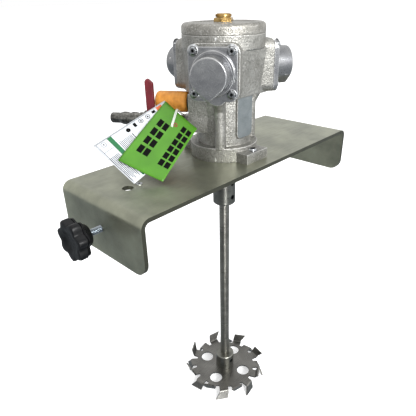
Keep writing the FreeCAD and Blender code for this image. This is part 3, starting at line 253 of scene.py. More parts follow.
# grains, clouds and depths in millimetres
castSkin = {"metallic": 0.88, "cloud": 14, "deep": 0.6, "swell": 6, "swellDeep": 0.4,
            "shine": 0.5, "topSpan": (0.55, 0.78), "point": "#D0CFCA",
            "pit": 0.25, "pitSpan": (0.30, 0.44), "pitTint": "#3C3C3A",
            "wear": 0.8, "edge": 0.515, "edgeWidth": 0.055, "wornTint": "#EDEDEB",
            "dirt": 0.7, "creaseSpan": (0.485, 0.42), "dirtTint": "#33332F"}
sheetSkin = {"cloud": 42, "stretch": 0.03, "cutSpan": (0.85, 0.6), "cutTint": "#45453B"}
barSkin = {"metallic": 1.0, "pitch": 0.7, "cloud": 12, "stretch": 0.02, "deep": 0.05, "axisTurn": (0, 0, 0)}
cardSkin = {"rough": 0.4, "coat": 0.2, "specular": 0.5}
acrossLine = (0, math.radians(90), 0)      # turns an axis along X onto Z


def cast(name, colour, shade, **look):
    return castAluminium(name, dict(castSkin, colour=colour, shade=shade, **look))


def sheet(name, colour, shade, **look):
    return rolledSheet(name, dict(sheetSkin, colour=colour, shade=shade, **look))


def metal(name, colour, shade, rough, **look):
    return turnedBar(name, {**barSkin, "colour": colour, "shade": shade, "rough": rough, **look})


def card(name, colour, shade, **look):
    return coatedCard(name, {**cardSkin, "colour": colour, "shade": shade, **look})


finishes = {
    "casting": cast("blastedCastAluminium", "#9B9A95", "#83827D", rough=0.44, grit=1.7, bump=1.0, pit=0.45),
    # painted reflection: the milled flats are tinted bluish grey for the sky that they mirror
    "flat": cast("machinedCastAluminium", "#8E9394", "#7F8586", rough=0.34, grit=1.7, bump=0.2, pit=0.1,
                 shine=0.2, point="#A9AEAE", wear=0.0, dirt=0.0),
    "lid": cast("castLidAluminium", "#95938D", "#82807A", rough=0.40, grit=1.6, bump=0.9, pit=0.4, shine=0.7,
                wear=0.0, dirt=0.0),
    "head": cast("dieCastHeadAluminium", "#8E8F90", "#78797C", rough=0.30, grit=1.1, bump=0.16, pit=0.12,
                 shine=0.25, point="#ABACAD", edge=0.506),
    "sheet": sheet("zincPlatedSheet", "#989A88", "#7C7E70", metallic=0.88, rough=0.33, edge=0.9, line=0.9),
    "disc": sheet("stainlessSheet", "#7E7D79", "#646360", metallic=1.0, rough=0.30, edge=0.0, line=0.8),
    "shaft": metal("turnedStainlessBar", "#9A9890", "#807E78", 0.31),
    "hub": metal("turnedStainlessHub", "#7F7F79", "#696964", 0.33),
    "screw": metal("zincPlatedScrewSteel", "#C4C6C7", "#A2A5A8", 0.30, cloud=4),
    "steel": metal("brightZincSteel", "#B4BCC2", "#98A0A8", 0.24, axisTurn=acrossLine),
    # blackened steel, also the dark of the painted shade round and in the head screws
    "dark": metal("blackenedSteel", "#2E2F30", "#1F2021", 0.42),
    "iron": metal("honedIron", "#5C5C5B", "#4B4B4A", 0.36),
    "nickel": metal("nickelPlatedBrass", "#82817C", "#4E4D4A", 0.22, cloud=3.5),
    "brass": metal("turnedBrass", "#BDA06A", "#8C7142", 0.24, cloud=4),
    "knob": mouldedPlastic("blackNylon", {"colour": "#0A0B0D", "shade": "#060708", "rough": 0.36,
                                          "grit": 1.2}, Specular_IOR_Level=0.2),
    "rubber": mouldedPlastic("nitrileRubber", {"colour": "#1A1A1A", "shade": "#111111", "rough": 0.7,
                                               "grit": 0.8}),
    "gasket": mouldedPlastic("pressedFibre", {"colour": "#3C3B39", "shade": "#2C2B2A", "rough": 0.8,
                                              "grit": 0.8}),
    "vinyl": mouldedPlastic("dippedRedVinyl", {"colour": "#68111E", "shade": "#570D17", "rough": 0.40,
                                               "grit": 1.5}),
    "silencer": sinteredPlastic("sinteredOrangePlastic", {"colour": "#E0983A", "shade": "#BC7620",
                                                          "rough": 0.5, "rib": 3.553}),
    "green": card("greenPrintedCard", "#467F18", "#3A6F12", rough=0.42, coat=0.08, specular=0.35),
    "paper": card("whiteLeafletPaper", "#C4C8CC", "#B8BCC1"),
    "black": card("blackPrint", "#040504", "#020302", rough=0.7, coat=0.0, specular=0.1),
    "grey": card("greyPrint", "#1E2024", "#17191C", rough=0.6, coat=0.0, specular=0.2),
    "band": card("greenPrint", "#0E6436", "#0B552D", rough=0.5, coat=0.0),
    "patch": card("orangePrint", "#CF6430", "#BC5828", rough=0.5, coat=0.0),
    "eyelet": card("redFibreEyelet", "#8A3A2A", "#6E2C20", rough=0.5, coat=0.0),
    # thin clear film: what lies behind shows through
    "clear": startMaterial("clearPolythene", {"colour": "#DDE3DA", "rough": 0.18}, Alpha=0.55)[0],
}

cadFinish = {
    "casting": ["motor_housing", "piston_1", "piston_2", "piston_3"],
    "lid": ["motor_lid"],
    "head": ["cylinder_head_1", "cylinder_head_2", "cylinder_head_3"],
    "sheet": ["clamp_plate"],
    "shaft": ["mixing_shaft", "crankshaft"],
    "hub": ["shaft_coupling", "impeller_hub"],
    "disc": ["toothed_disc"],
    "screw": ["head_screws", "base_bolts", "lever_nut", "valve_stem", "ground_rivet"],
    "steel": ["clamp_screw", "clamp_pad", "clamp_nut", "wrist_pins", "crank_ring", "bearing_outer_rings",
              "bearing_inner_rings", "valve_lever", "connecting_rod_1", "connecting_rod_2",
              "connecting_rod_3"],
    "dark": ["coupling_screws", "hub_screw", "silencer_adapter"],
    "iron": ["valve_sleeve", "rotary_valve", "cylinder_liner_1", "cylinder_liner_2", "cylinder_liner_3",
             "piston_ring_1", "piston_ring_2", "piston_ring_3"],
    "nickel": ["valve_body", "valve_ball", "quick_plug", "inlet_nipple"],
    "brass": ["breather_plug"],
    "knob": ["star_knob"],
    "rubber": ["lid_seal", "shaft_seal"],
    "gasket": ["head_gasket_1", "head_gasket_2", "head_gasket_3"],
    "vinyl": ["lever_grip"],
    "silencer": ["silencer_body"],
    "green": ["inspection_tag"],
    "paper": ["instruction_leaflet"],
    "clear": ["tag_tie"],
}
for key, names in cadFinish.items():
    for name in names:
        for holder in nodes[name].material_slots:
            holder.link = "OBJECT"
            holder.material = finishes[key]
print("finishes ready:", len(finishes))


def meshPiece(name, vertices, faces, material, smooth=True):
    mesh = bpy.data.meshes.new(name)
    mesh.from_pydata([tuple(spot) for spot in vertices], [], faces)
    mesh.materials.append(material)
    if smooth:
        mesh.shade_smooth()
    mesh.validate()
    piece = bpy.data.objects.new(name, mesh)
    bpy.context.scene.collection.objects.link(piece)
    return piece


def settle(piece):
    # turns the piece's modifiers into plain mesh
    bpy.context.view_layer.update()
    graph = bpy.context.evaluated_depsgraph_get()
    mesh = bpy.data.meshes.new_from_object(piece.evaluated_get(graph))
    piece.modifiers.clear()
    piece.data = mesh


def tidyFaces(piece, near=0.001):
    # merges doubles nearer than so many millimetres and points the faces outwards
    work = bmesh.new()
    work.from_mesh(piece.data)
    bmesh.ops.remove_doubles(work, verts=work.verts, dist=near * mm)
    bmesh.ops.recalc_face_normals(work, faces=work.faces)
    work.to_mesh(piece.data)
    work.free()


def crease(piece, degrees=35):
    piece.data.shade_smooth()
    piece.data.set_sharp_from_angle(angle=math.radians(degrees))


def softened(name, node, look, body, material):
    # a copy of a CAD casting or moulding with the small radii that its mould leaves
    mesh = nodes[node].data.copy()
    piece = bpy.data.objects.new(name, mesh)
    bpy.context.scene.collection.objects.link(piece)
    work = bmesh.new()
    work.from_mesh(mesh)
    bmesh.ops.remove_doubles(work, verts=work.verts, dist=0.002 * mm)
    work.to_mesh(mesh)
    work.free()
    remesh = piece.modifiers.new("Remesh", "REMESH")
    remesh.mode = "VOXEL"
    remesh.voxel_size = look["voxel"] * mm
    soften = piece.modifiers.new("Soften", "SMOOTH")
    soften.factor = 0.5
    soften.iterations = look["rounds"]
    if look["keep"] < 1:
        thin = piece.modifiers.new("Thin", "DECIMATE")
        thin.ratio = look["keep"]
    settle(piece)
    piece.data.materials.clear()
    piece.data.materials.append(material)
    piece.data.shade_smooth()
    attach(piece, body)
    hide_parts(node)


softCasting = {"voxel": 0.5, "rounds": 2, "keep": 0.3}
softHead = {"voxel": 0.4, "rounds": 1, "keep": 0.5}
softGrip = {"voxel": 0.4, "rounds": 4, "keep": 1}
softened("motorCasting", "motor_housing", softCasting, "stand", finishes["casting"])
for number in (1, 2, 3):
    softened("castHead%d" % number, "cylinder_head_%d" % number, softHead, "stand", finishes["head"])
softened("vinylGrip", "lever_grip", softGrip, "lever", finishes["vinyl"])
print("castings and grip softened")


def turned(name, profile, material, sides=96):
    # a closed profile of radius and height in millimetres, turned round Z; radius 0 makes one point
    vertices, faces, rows = [], [], []
    for radius, height in profile:
        lift = Vector((0, 0, height * mm))
        if radius == 0:
            rows.append([len(vertices)])
            vertices.append(lift)
        else:
            rows.append(list(range(len(vertices), len(vertices) + sides)))
            vertices += [polar(360 * step / sides, radius * mm) + lift for step in range(sides)]
    for low, high in zip(rows, rows[1:]):
        for step in range(sides):
            after = (step + 1) % sides
            if len(low) == 1:
                faces.append((low[0], high[after], high[step]))
            elif len(high) == 1:
                faces.append((low[step], low[after], high[0]))
            else:
                faces.append((low[step], low[after], high[after], high[step]))
    piece = meshPiece(name, vertices, faces, material)
    tidyFaces(piece)
    crease(piece)
    return piece


lidLook = {"radius": 41.5, "low": 126.5, "high": 136.5, "round": 4.2, "chamfer": 0.6, "dish": 31.5,
           "slope": 1.2, "deep": 0.8, "boss": 9.6, "bossFoot": 0.8, "sides": 128}


def makeLid(look):
    # cast lid: rounded rim, shallow dish and a raised seat for the plug
    radius, low, high, curve = look["radius"], look["low"], look["high"], look["round"]
    chamfer, floor = look["chamfer"], high - look["deep"]
    profile = [(0, low), (radius - chamfer, low), (radius, low + chamfer), (radius, high - curve)]
    profile += [(radius - curve + curve * math.cos(turn), high - curve + curve * math.sin(turn))
                for turn in [math.radians(15 * step) for step in range(1, 7)]]
    profile += [(look["dish"], high), (look["dish"] - look["slope"], floor),
                (look["boss"] + look["bossFoot"], floor), (look["boss"], high), (0, high)]
    lid = turned("castLid", profile, finishes["lid"], look["sides"])
    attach(lid, "stand")
    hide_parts("motor_lid")


plugLook = {"seat": 136.5, "across": 17.2, "foot": 3.6, "footBevel": 0.6, "bevelShare": 0.93, "sunk": 0.2,
            "cap": 7.6, "groove": 6.9, "grooveTall": 0.5, "lip": 0.4, "edge": 1.4, "edgeStep": 0.5,
            "top": 7.3, "sides": 48}


def makePlug(look):
    # brass plug: chamfered hexagon, groove, round cap with a soft upper edge
    corner = look["across"] / math.sqrt(3)
    vertices, faces = [], []
    foot = look["foot"]
    for height, share in ((0, 1.0), (foot - look["footBevel"], 1.0), (foot, look["bevelShare"])):
        lift = Vector((0, 0, (look["seat"] + height) * mm))
        vertices += [polar(60 * step + 30, corner * share * mm) + lift for step in range(6)]
    for row in (0, 6):
        faces += [(row + step, row + (step + 1) % 6, row + (step + 1) % 6 + 6, row + step + 6)
                  for step in range(6)]
    faces += [(5, 4, 3, 2, 1, 0), (12, 13, 14, 15, 16, 17)]
    hexagon = meshPiece("brassPlugFoot", vertices, faces, finishes["brass"], False)
    tidyFaces(hexagon)
    base = look["seat"] + foot - look["sunk"]
    top = look["seat"] + look["top"]
    groove, radius, shelf = look["groove"], look["cap"], base + look["grooveTall"]
    profile = [(0, base), (groove, base), (groove, shelf), (radius, shelf + look["lip"]),
               (radius, top - look["edge"]), (radius - look["edgeStep"], top - look["edgeStep"]),
               (radius - look["edge"], top), (0, top)]
    cap = turned("brassPlugCap", profile, finishes["brass"], look["sides"])
    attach(hexagon, "stand")
    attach(cap, "stand")
    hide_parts("breather_plug")


neckFlats = {"turns": (30, 270), "reach": 28.95, "start": 27.6, "wide": 22.6, "low": 26.9, "high": 69.5,
             "corner": 4.8}


def makeNeckFlats(look):
    # the smooth milled pads between the neck's columns, with round lower corners
    half, corner = look["wide"] / 2, look["corner"]
    outline = [(-half, look["high"]), (half, look["high"])]
    for side, first in ((1, 0), (-1, -90)):
        outline += [(side * (half - corner) + corner * math.cos(turn),
                     look["low"] + corner + corner * math.sin(turn))
                    for turn in [math.radians(first - 15 * step) for step in range(7)]]
    vertices, faces = [], []
    count = len(outline)
    for turn in look["turns"]:
        start = len(vertices)
        for reach in (look["start"], look["reach"]):
            vertices += [(polar(turn, reach) + polar(turn + 90, across) + Vector((0, 0, height))) * mm
                         for across, height in outline]
        faces.append(tuple(start + step for step in range(count)))
        faces.append(tuple(start + count + step for step in reversed(range(count))))
        for step in range(count):
            after = (step + 1) % count
            faces.append((start + step, start + after, start + count + after, start + count + step))
    pads = meshPiece("milledNeckFlats", vertices, faces, finishes["flat"], False)
    tidyFaces(pads)
    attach(pads, "stand")


makeLid(lidLook)
makePlug(plugLook)
makeNeckFlats(neckFlats)
print("lid, plug and neck flats made")


def startGeometry(name, sizes):
    # an empty Geometry Nodes tree with named inputs: the sizes, the metal and the points
    tree = bpy.data.node_groups.new(name, "GeometryNodeTree")
    tree.interface.new_socket(name="Geometry", in_out="OUTPUT", socket_type="NodeSocketGeometry")
    tree.interface.new_socket(name="Geometry", in_out="INPUT", socket_type="NodeSocketGeometry")
    for label in sizes:
        whole = isinstance(sizes[label], int)
        tree.interface.new_socket(name=label, in_out="INPUT",
                                  socket_type="NodeSocketInt" if whole else "NodeSocketFloat")
    tree.interface.new_socket(name="Metal", in_out="INPUT", socket_type="NodeSocketMaterial")
    return tree, addNode(tree, "NodeGroupInput").outputs


def endGeometry(tree, given, shape):
    # stands the shape on each point, its Z along the point's aim, and gives it the metal
    aim = addNode(tree, "GeometryNodeInputNamedAttribute", {"data_type": "FLOAT_VECTOR", "Name": "aim"})
    turn = addNode(tree, "FunctionNodeAlignRotationToVector", {"axis": "Z"}, {"Vector": aim.outputs[0]})
    placed = addNode(tree, "GeometryNodeInstanceOnPoints", links={
        "Points": given["Geometry"], "Instance": shape, "Rotation": turn.outputs[0]})
    solid = addNode(tree, "GeometryNodeRealizeInstances", links={"Geometry": placed.outputs[0]})
    painted = addNode(tree, "GeometryNodeSetMaterial", links={
        "Geometry": solid.outputs[0], "Material": given["Metal"]})
    addNode(tree, "NodeGroupOutput", links={0: painted.outputs[0]})


def grown(name, spots, aims, tree, sizes, material, body):
    # the tree's result on these points, as plain mesh
    mesh = bpy.data.meshes.new(name)
    mesh.from_pydata([tuple(spot) for spot in spots], [], [])
    holder = mesh.attributes.new("aim", "FLOAT_VECTOR", "POINT")
    for place, aim in enumerate(aims):
        holder.data[place].vector = aim
    piece = bpy.data.objects.new(name, mesh)
    bpy.context.scene.collection.objects.link(piece)
    grow = piece.modifiers.new("Grow", "NODES")
    grow.node_group = tree
    given = dict(sizes, Metal=material)
    for socket in tree.interface.items_tree:
        if socket.in_out == "INPUT" and socket.name in given:
            grow[socket.identifier] = given[socket.name]
    settle(piece)
    tidyFaces(piece)
    crease(piece)
    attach(piece, body)
    return piece


# sizes that a tree reads are in metres
headScrew = {"Head radius": 3.0 * mm, "Head height": 3.0 * mm, "Chamfer": 0.45 * mm,
             "Socket radius": 1.6 * mm, "Socket depth": 1.7 * mm, "Shank radius": 1.9 * mm,
             "Shank length": 7.0 * mm}
baseScrew = dict(headScrew, **{"Head radius": 3.4 * mm, "Head height": 3.2 * mm, "Socket radius": 1.9 * mm})
washer = dict(headScrew, **{"Head radius": 3.7 * mm, "Head height": 0.5 * mm, "Chamfer": 0.15 * mm,
                            "Socket radius": 0.3 * mm, "Socket depth": 0.1 * mm, "Shank length": 0.2 * mm})
baseWasher = dict(washer, **{"Head radius": 4.6 * mm})
socketFloor = dict(washer, **{"Head radius": 1.1 * mm, "Head height": 0.5 * mm, "Shank radius": 0.8 * mm})
setScrew = {"Head radius": 2.9 * mm, "Head height": 5.4 * mm, "Chamfer": 0.4 * mm, "Socket radius": 1.75 * mm,
            "Socket depth": 2.4 * mm, "Shank radius": 1.2 * mm, "Shank length": 0.3 * mm}


def screwTree():
    # socket screw: chamfered head, hexagon socket and a shank below the seat
    tree, given = startGeometry("socketScrew", headScrew)
    radius, height, chamfer = given["Head radius"], given["Head height"], given["Chamfer"]
    half = addNode(tree, "ShaderNodeMath", {"operation": "MULTIPLY", 1: 0.5}, {0: height}).outputs[0]
    lift = addNode(tree, "ShaderNodeCombineXYZ", links={"Z": half}).outputs[0]
    block = addNode(tree, "GeometryNodeMeshCylinder", {"Vertices": 36}, {"Radius": radius, "Depth": height})
    head = addNode(tree, "GeometryNodeTransform", links={"Geometry": block.outputs[0], "Translation": lift})
    top = addNode(tree, "ShaderNodeMath", {"operation": "SUBTRACT"}, {0: radius, 1: chamfer}).outputs[0]
    low = addNode(tree, "ShaderNodeMath", {"operation": "ADD"}, {0: top, 1: height}).outputs[0]
    cone = addNode(tree, "GeometryNodeMeshCone", {"Vertices": 36},
                   {"Radius Top": top, "Radius Bottom": low, "Depth": height})
    bevelled = addNode(tree, "GeometryNodeMeshBoolean", {"operation": "INTERSECT"},
                       {"Mesh 2": cone.outputs[0]})
    tree.links.new(head.outputs[0], bevelled.inputs["Mesh 2"])
    deep = addNode(tree, "ShaderNodeMath", {"operation": "MULTIPLY", 1: 2.0}, {0: given["Socket depth"]})
    up = addNode(tree, "ShaderNodeCombineXYZ", links={"Z": height}).outputs[0]
    key = addNode(tree, "GeometryNodeMeshCylinder", {"Vertices": 6},
                  {"Radius": given["Socket radius"], "Depth": deep.outputs[0]})
    raised = addNode(tree, "GeometryNodeTransform", links={"Geometry": key.outputs[0], "Translation": up})
    hollow = addNode(tree, "GeometryNodeMeshBoolean", {"operation": "DIFFERENCE"},
                     {"Mesh 1": bevelled.outputs[0], "Mesh 2": raised.outputs[0]})
    shank = addNode(tree, "GeometryNodeMeshCylinder", {"Vertices": 16},
                    {"Radius": given["Shank radius"], "Depth": given["Shank length"]})
    fall = addNode(tree, "ShaderNodeMath", {"operation": "MULTIPLY", 1: -0.49}, {0: given["Shank length"]})
    drop = addNode(tree, "ShaderNodeCombineXYZ", links={"Z": fall.outputs[0]}).outputs[0]
    lowered = addNode(tree, "GeometryNodeTransform", links={
        "Geometry": shank.outputs[0], "Translation": drop})
    whole = addNode(tree, "GeometryNodeJoinGeometry", links={0: hollow.outputs[0]})
    tree.links.new(lowered.outputs[0], whole.inputs[0])
    endGeometry(tree, given, whole.outputs[0])
    return tree


headSeats = {"turns": (210, 330, 90), "reach": 50.8, "across": 17.8, "heights": (77.3, 115.1), "sunk": 1.5,
             "socketFloor": 0.55}
baseSeats = {"side": 40, "height": 13.4, "washer": 1.2}
couplingSeats = {"front": -7.2, "heights": (-31, -48)}
hubSeats = {"front": -6.5, "heights": (-305.8,)}


def makeHeadScrews(tree, look):
    seats, aims = [], []
    for turn in look["turns"]:
        for across in (-look["across"], look["across"]):
            for height in look["heights"]:
                flange = polar(turn, look["reach"]) + polar(turn + 90, across)
                seats.append((flange + Vector((0, 0, height))) * mm)
                aims.append(polar(turn))
    sunk = [seat - aim * look["sunk"] * mm for seat, aim in zip(seats, aims)]
    floors = [seat + aim * look["socketFloor"] * mm for seat, aim in zip(seats, aims)]
    heads = grown("headSocketScrews", sunk, aims, tree, headScrew, finishes["screw"], "stand")
    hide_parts("head_screws")
    # painted shade: dark washers round the sunk heads stand for the shaded gap of the counterbores, and dark
    # discs in the sockets for their shade
    grown("springWashers", seats, aims, tree, washer, finishes["dark"], "stand")
    grown("socketShadows", floors, aims, tree, socketFloor, finishes["dark"], "stand")


def makeBaseScrews(tree, look):
    seats = [Vector((0, side * look["side"], look["height"])) * mm for side in (-1, 1)]
    raised = [seat + Vector((0, 0, look["washer"] * mm)) for seat in seats]
    aims = [Vector((0, 0, 1))] * 2
    bolts = grown("baseSocketScrews", seats, aims, tree, baseScrew, finishes["screw"], "stand")
    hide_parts("base_bolts")
    grown("baseWashers", raised, aims, tree, baseWasher, finishes["dark"], "stand")


def makeSetScrews(name, node, tree, look):
    seats = [Vector((0, look["front"], height)) * mm for height in look["heights"]]
    screws = grown(name, seats, [Vector((0, -1, 0))] * len(seats), tree, setScrew, finishes["dark"], "rotor")
    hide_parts(node)


# M6 coarse: one turn for each millimetre of length
threadSizes = {"Core": 2.7 * mm, "Crest": 0.45 * mm, "Length": 59.0 * mm, "Turns": 59.0}
threadStart = Vector((-190.5, 0, -24)) * mm


def threadTree():
    # core rod with a thread ridge wound round it, along Z from the point
    tree, given = startGeometry("thread", threadSizes)
    half = addNode(tree, "ShaderNodeMath", {"operation": "MULTIPLY", 1: 0.5}, {0: given["Length"]}).outputs[0]
    lift = addNode(tree, "ShaderNodeCombineXYZ", links={"Z": half}).outputs[0]
    rod = addNode(tree, "GeometryNodeMeshCylinder", {"Vertices": 20},
                  {"Radius": given["Core"], "Depth": given["Length"]})
    core = addNode(tree, "GeometryNodeTransform", links={"Geometry": rod.outputs[0], "Translation": lift})
    coil = addNode(tree, "GeometryNodeCurveSpiral", {"Resolution": 20}, {
        "Rotations": given["Turns"], "Start Radius": given["Core"], "End Radius": given["Core"],
        "Height": given["Length"]})
    upright = addNode(tree, "GeometryNodeSetCurveNormal", {"mode": "Z_UP"}, {"Curve": coil.outputs[0]})
    ridge = addNode(tree, "GeometryNodeCurvePrimitiveCircle", {"Resolution": 4}, {"Radius": given["Crest"]})
    wound = addNode(tree, "GeometryNodeCurveToMesh", {"Fill Caps": True},
                    {"Curve": upright.outputs[0], "Profile Curve": ridge.outputs[0]})
    whole = addNode(tree, "GeometryNodeJoinGeometry", links={0: core.outputs[0]})
    tree.links.new(wound.outputs[0], whole.inputs[0])
    endGeometry(tree, given, whole.outputs[0])
    return tree


ribSizes = {"Count": 36, "Radius": 7.65 * mm, "Width": 0.5 * mm, "Height": 2.4 * mm}
ribCentre = Vector((0, 0, 141.9)) * mm


def ribTree():
    # upright ribs round a circle about the point: the knurl of a cap
    tree, given = startGeometry("knurl", ribSizes)
    ring = addNode(tree, "GeometryNodeMeshCircle", links={
        "Vertices": given["Count"], "Radius": given["Radius"]})
    shape = addNode(tree, "ShaderNodeCombineXYZ", links={
        "X": given["Width"], "Y": given["Width"], "Z": given["Height"]})
    rib = addNode(tree, "GeometryNodeMeshCube", links={"Size": shape.outputs[0]})
    way = addNode(tree, "GeometryNodeInputPosition")
    turn = addNode(tree, "FunctionNodeAlignRotationToVector", {"axis": "X"}, {"Vector": way.outputs[0]})
    ribs = addNode(tree, "GeometryNodeInstanceOnPoints", links={
        "Points": ring.outputs[0], "Instance": rib.outputs[0], "Rotation": turn.outputs[0]})
    endGeometry(tree, given, ribs.outputs[0])
    return tree


screws = screwTree()
makeHeadScrews(screws, headSeats)
makeBaseScrews(screws, baseSeats)
makeSetScrews("couplingSetScrews", "coupling_screws", screws, couplingSeats)
makeSetScrews("hubSetScrew", "hub_screw", screws, hubSeats)
screwRod = grown("threadedClampScrew", [threadStart], [Vector((1, 0, 0))], threadTree(), threadSizes,
                 finishes["steel"], "clamp_spindle")
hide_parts("clamp_screw")
grown("plugKnurl", [ribCentre], [Vector((0, 0, 1))], ribTree(), ribSizes, finishes["brass"], "stand")
print("screws, thread and knurl grown")


knobLook = {"lobes": 7, "tip": 19.4, "valley": 15.2, "face": -197.0, "front": 7.5, "thick": 11.0, "hub": 10.0,
            "hubEnd": -179.0, "height": -24.0, "start": 12.0, "steps": 12, "lobeCurve": 0.8}


def makeKnob(look):
    # star grip: angular lobes, a hollowed face, a step behind the star and a tapered hub
    steps = look["steps"]
    total = look["lobes"] * steps

    def starRow(scale, x, roundness):
        row = []
        for step in range(total):
            share = (step % steps) / steps            # 0 at a tip, 0.5 in a valley
            wave = 0.5 + 0.5 * math.cos(2 * math.pi * share)
            radius = look["valley"] + (look["tip"] - look["valley"]) * wave ** look["lobeCurve"]
            radius = (radius * (1 - roundness) + look["valley"] * roundness) * scale
            turn = math.radians(look["start"] + 360 * step / total)
            row.append(Vector((x, math.cos(turn) * radius, look["height"] + math.sin(turn) * radius)) * mm)
        return row

    face, front = look["face"], look["face"] + look["front"]
    back = face + look["thick"]
    hub = look["hub"] / look["valley"]
    # each section: share of the star's size, place along X, and 0 for lobed to 1 for round
    hollow = [(0.52, face + 1.6, 0.9), (0.62, face + 0.5, 0.5)]
    star = [(0.90, face, 0.0), (0.97, face + 0.5, 0.0), (1.0, face + 1.6, 0.0), (1.0, front, 0.0)]
    ledge = [(0.92, front + 0.4, 0.1), (0.92, front + 1.4, 0.1), (0.97, front + 1.8, 0.1), (0.95, back, 0.1),
             (0.86, back + 0.8, 0.3)]
    end = look["hubEnd"]
    neck = [(hub * 1.22, back + 1.0, 1.0), (hub, end - 0.8, 1.0), (hub * 0.94, end, 1.0)]
    rows = [starRow(*section) for section in hollow + star + ledge + neck]
    vertices = [spot for row in rows for spot in row]
    faces = []
    for row in range(len(rows) - 1):
        for step in range(total):
            first, second = row * total + step, row * total + (step + 1) % total
            faces.append((first, second, second + total, first + total))
    frontPole, backPole = len(vertices), len(vertices) + 1
    vertices += [Vector((x, 0, look["height"])) * mm for x in (face + 2.0, end)]
    last = (len(rows) - 1) * total
    for step in range(total):
        after = (step + 1) % total
        faces.append((frontPole, after, step))
        faces.append((backPole, last + step, last + after))
    knob = meshPiece("starGrip", vertices, faces, finishes["knob"])
    tidyFaces(knob)
    crease(knob, 40)
    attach(knob, "clamp_spindle")
    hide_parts("star_knob")


makeKnob(knobLook)
print("knob made")


def atPlate(x, y, z):
    return Vector((x, y, z)) * mm + Vector((0, 0, plateTop))


tag = {"corners": [atPlate(-44.7, 41.7, 57.0), atPlate(-42.4, -1.4, 35.1),
                   atPlate(-104.6, -17.4, 1.7), atPlate(-121.9, 25.4, 17.5)],
       "curl": 0.8 * mm, "thick": 0.4 * mm, "steps": (28, 20)}
leaflet = {"corners": [atPlate(-42.6, 45.6, 57.3), atPlate(-50.5, -0.8, 29.5),
                       atPlate(-124.1, 0.6, 1.4), atPlate(-128.8, 54.4, 27.8)],
           "curl": 0.0, "thick": 0.35 * mm, "steps": (28, 20)}
ink = {"gap": 0.02 * mm, "thick": 0.03 * mm, "steps": (6, 4), "ringSides": 20}


def cardSpot(paper, u, v, lift):
    # a point of a card: u runs down its long side, v across it, lift stands off its back
    top, right, bottom, left = paper["corners"]
    spot = top.lerp(left, u).lerp(right.lerp(bottom, u), v)
    normal = (left - top).cross(right - top).normalized()
    if normal.z < 0:
        normal = -normal
    bow = paper["curl"] * (math.sin(math.pi * u) * 0.6 + (2 * v - 1) ** 2)
    return spot + normal * (bow + lift)


def cardPatch(paper, lift, window, steps, thick):
    # vertices and faces of a thin closed piece of the card's surface between u0, v0 and u1, v1
    u0, v0, u1, v1 = window
    rows, columns = steps
    vertices, faces = [], []
    for height in (lift, lift + thick):
        for row in range(rows + 1):
            for column in range(columns + 1):
                vertices.append(cardSpot(paper, u0 + (u1 - u0) * row / rows,
                                         v0 + (v1 - v0) * column / columns, height))
    wide = columns + 1
    count = (rows + 1) * wide
    for layer in (0, 1):
        for row in range(rows):
            for column in range(columns):
                first = layer * count + row * wide + column
                faces.append((first, first + 1, first + wide + 1, first + wide))
    edge = list(range(wide)) + [row * wide + columns for row in range(1, rows + 1)]
    edge += [rows * wide + column for column in range(columns - 1, -1, -1)]
    edge += [row * wide for row in range(rows - 1, 0, -1)]
    for place, first in enumerate(edge):
        second = edge[(place + 1) % len(edge)]
        faces.append((first, second, second + count, first + count))
    return vertices, faces


def makeCard(name, paper, node, material):
    vertices, faces = cardPatch(paper, 0, (0, 0, 1, 1), paper["steps"], paper["thick"])
    piece = meshPiece(name, vertices, faces, material)
    tidyFaces(piece)
    piece.data.shade_smooth()
    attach(piece, "stand")
    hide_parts(node)


def printed(name, paper, windows, material, gap=ink["gap"]):
    # patches of ink on the card
    vertices, faces = [], []
    for window in windows:
        some, more = cardPatch(paper, paper["thick"] + gap, window, ink["steps"], ink["thick"])
        faces += [tuple(index + len(vertices) for index in face) for face in more]
        vertices += some
    piece = meshPiece(name, vertices, faces, material, False)
    tidyFaces(piece)
    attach(piece, "stand")


def printedRings(name, paper, rings, material, tall=0.04 * mm):
    # closed rings about centres u, v with outer and inner radius in millimetres
    top, right, bottom, left = paper["corners"]
    down, wide = (left - top).length, (right - top).length
    sides = ink["ringSides"]
    vertices, faces = [], []
    for u, v, outer, inner in rings:
        start = len(vertices)
        for radius, lift in ((outer, 0.0), (outer, tall), (inner, tall), (inner, 0.0)):
            for step in range(sides):
                turn = 2 * math.pi * step / sides
                vertices.append(cardSpot(paper, u + math.cos(turn) * radius * mm / down,
                                         v + math.sin(turn) * radius * mm / wide,
                                         paper["thick"] + ink["gap"] + lift))
        for band in range(4):
            near, far = start + band * sides, start + ((band + 1) % 4) * sides
            for step in range(sides):
                after = (step + 1) % sides
                faces.append((near + step, near + after, far + after, far + step))
    piece = meshPiece(name, vertices, faces, material, False)
    tidyFaces(piece)
    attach(piece, "stand")


# print in shares of the card: first and step down it, half a block's length, and its columns across
tagPrint = [{"count": 4, "first": 0.294, "step": 0.1467, "half": 0.054,
             "columns": ((0.17, 0.29), (0.32, 0.44))},
            {"count": 6, "first": 0.161, "step": 0.1196, "half": 0.047,
             "columns": ((0.70, 0.81), (0.84, 0.95))}]
tagEyelet = {"ring": (0.177, 0.533, 2.6, 1.3), "tall": 0.25 * mm}
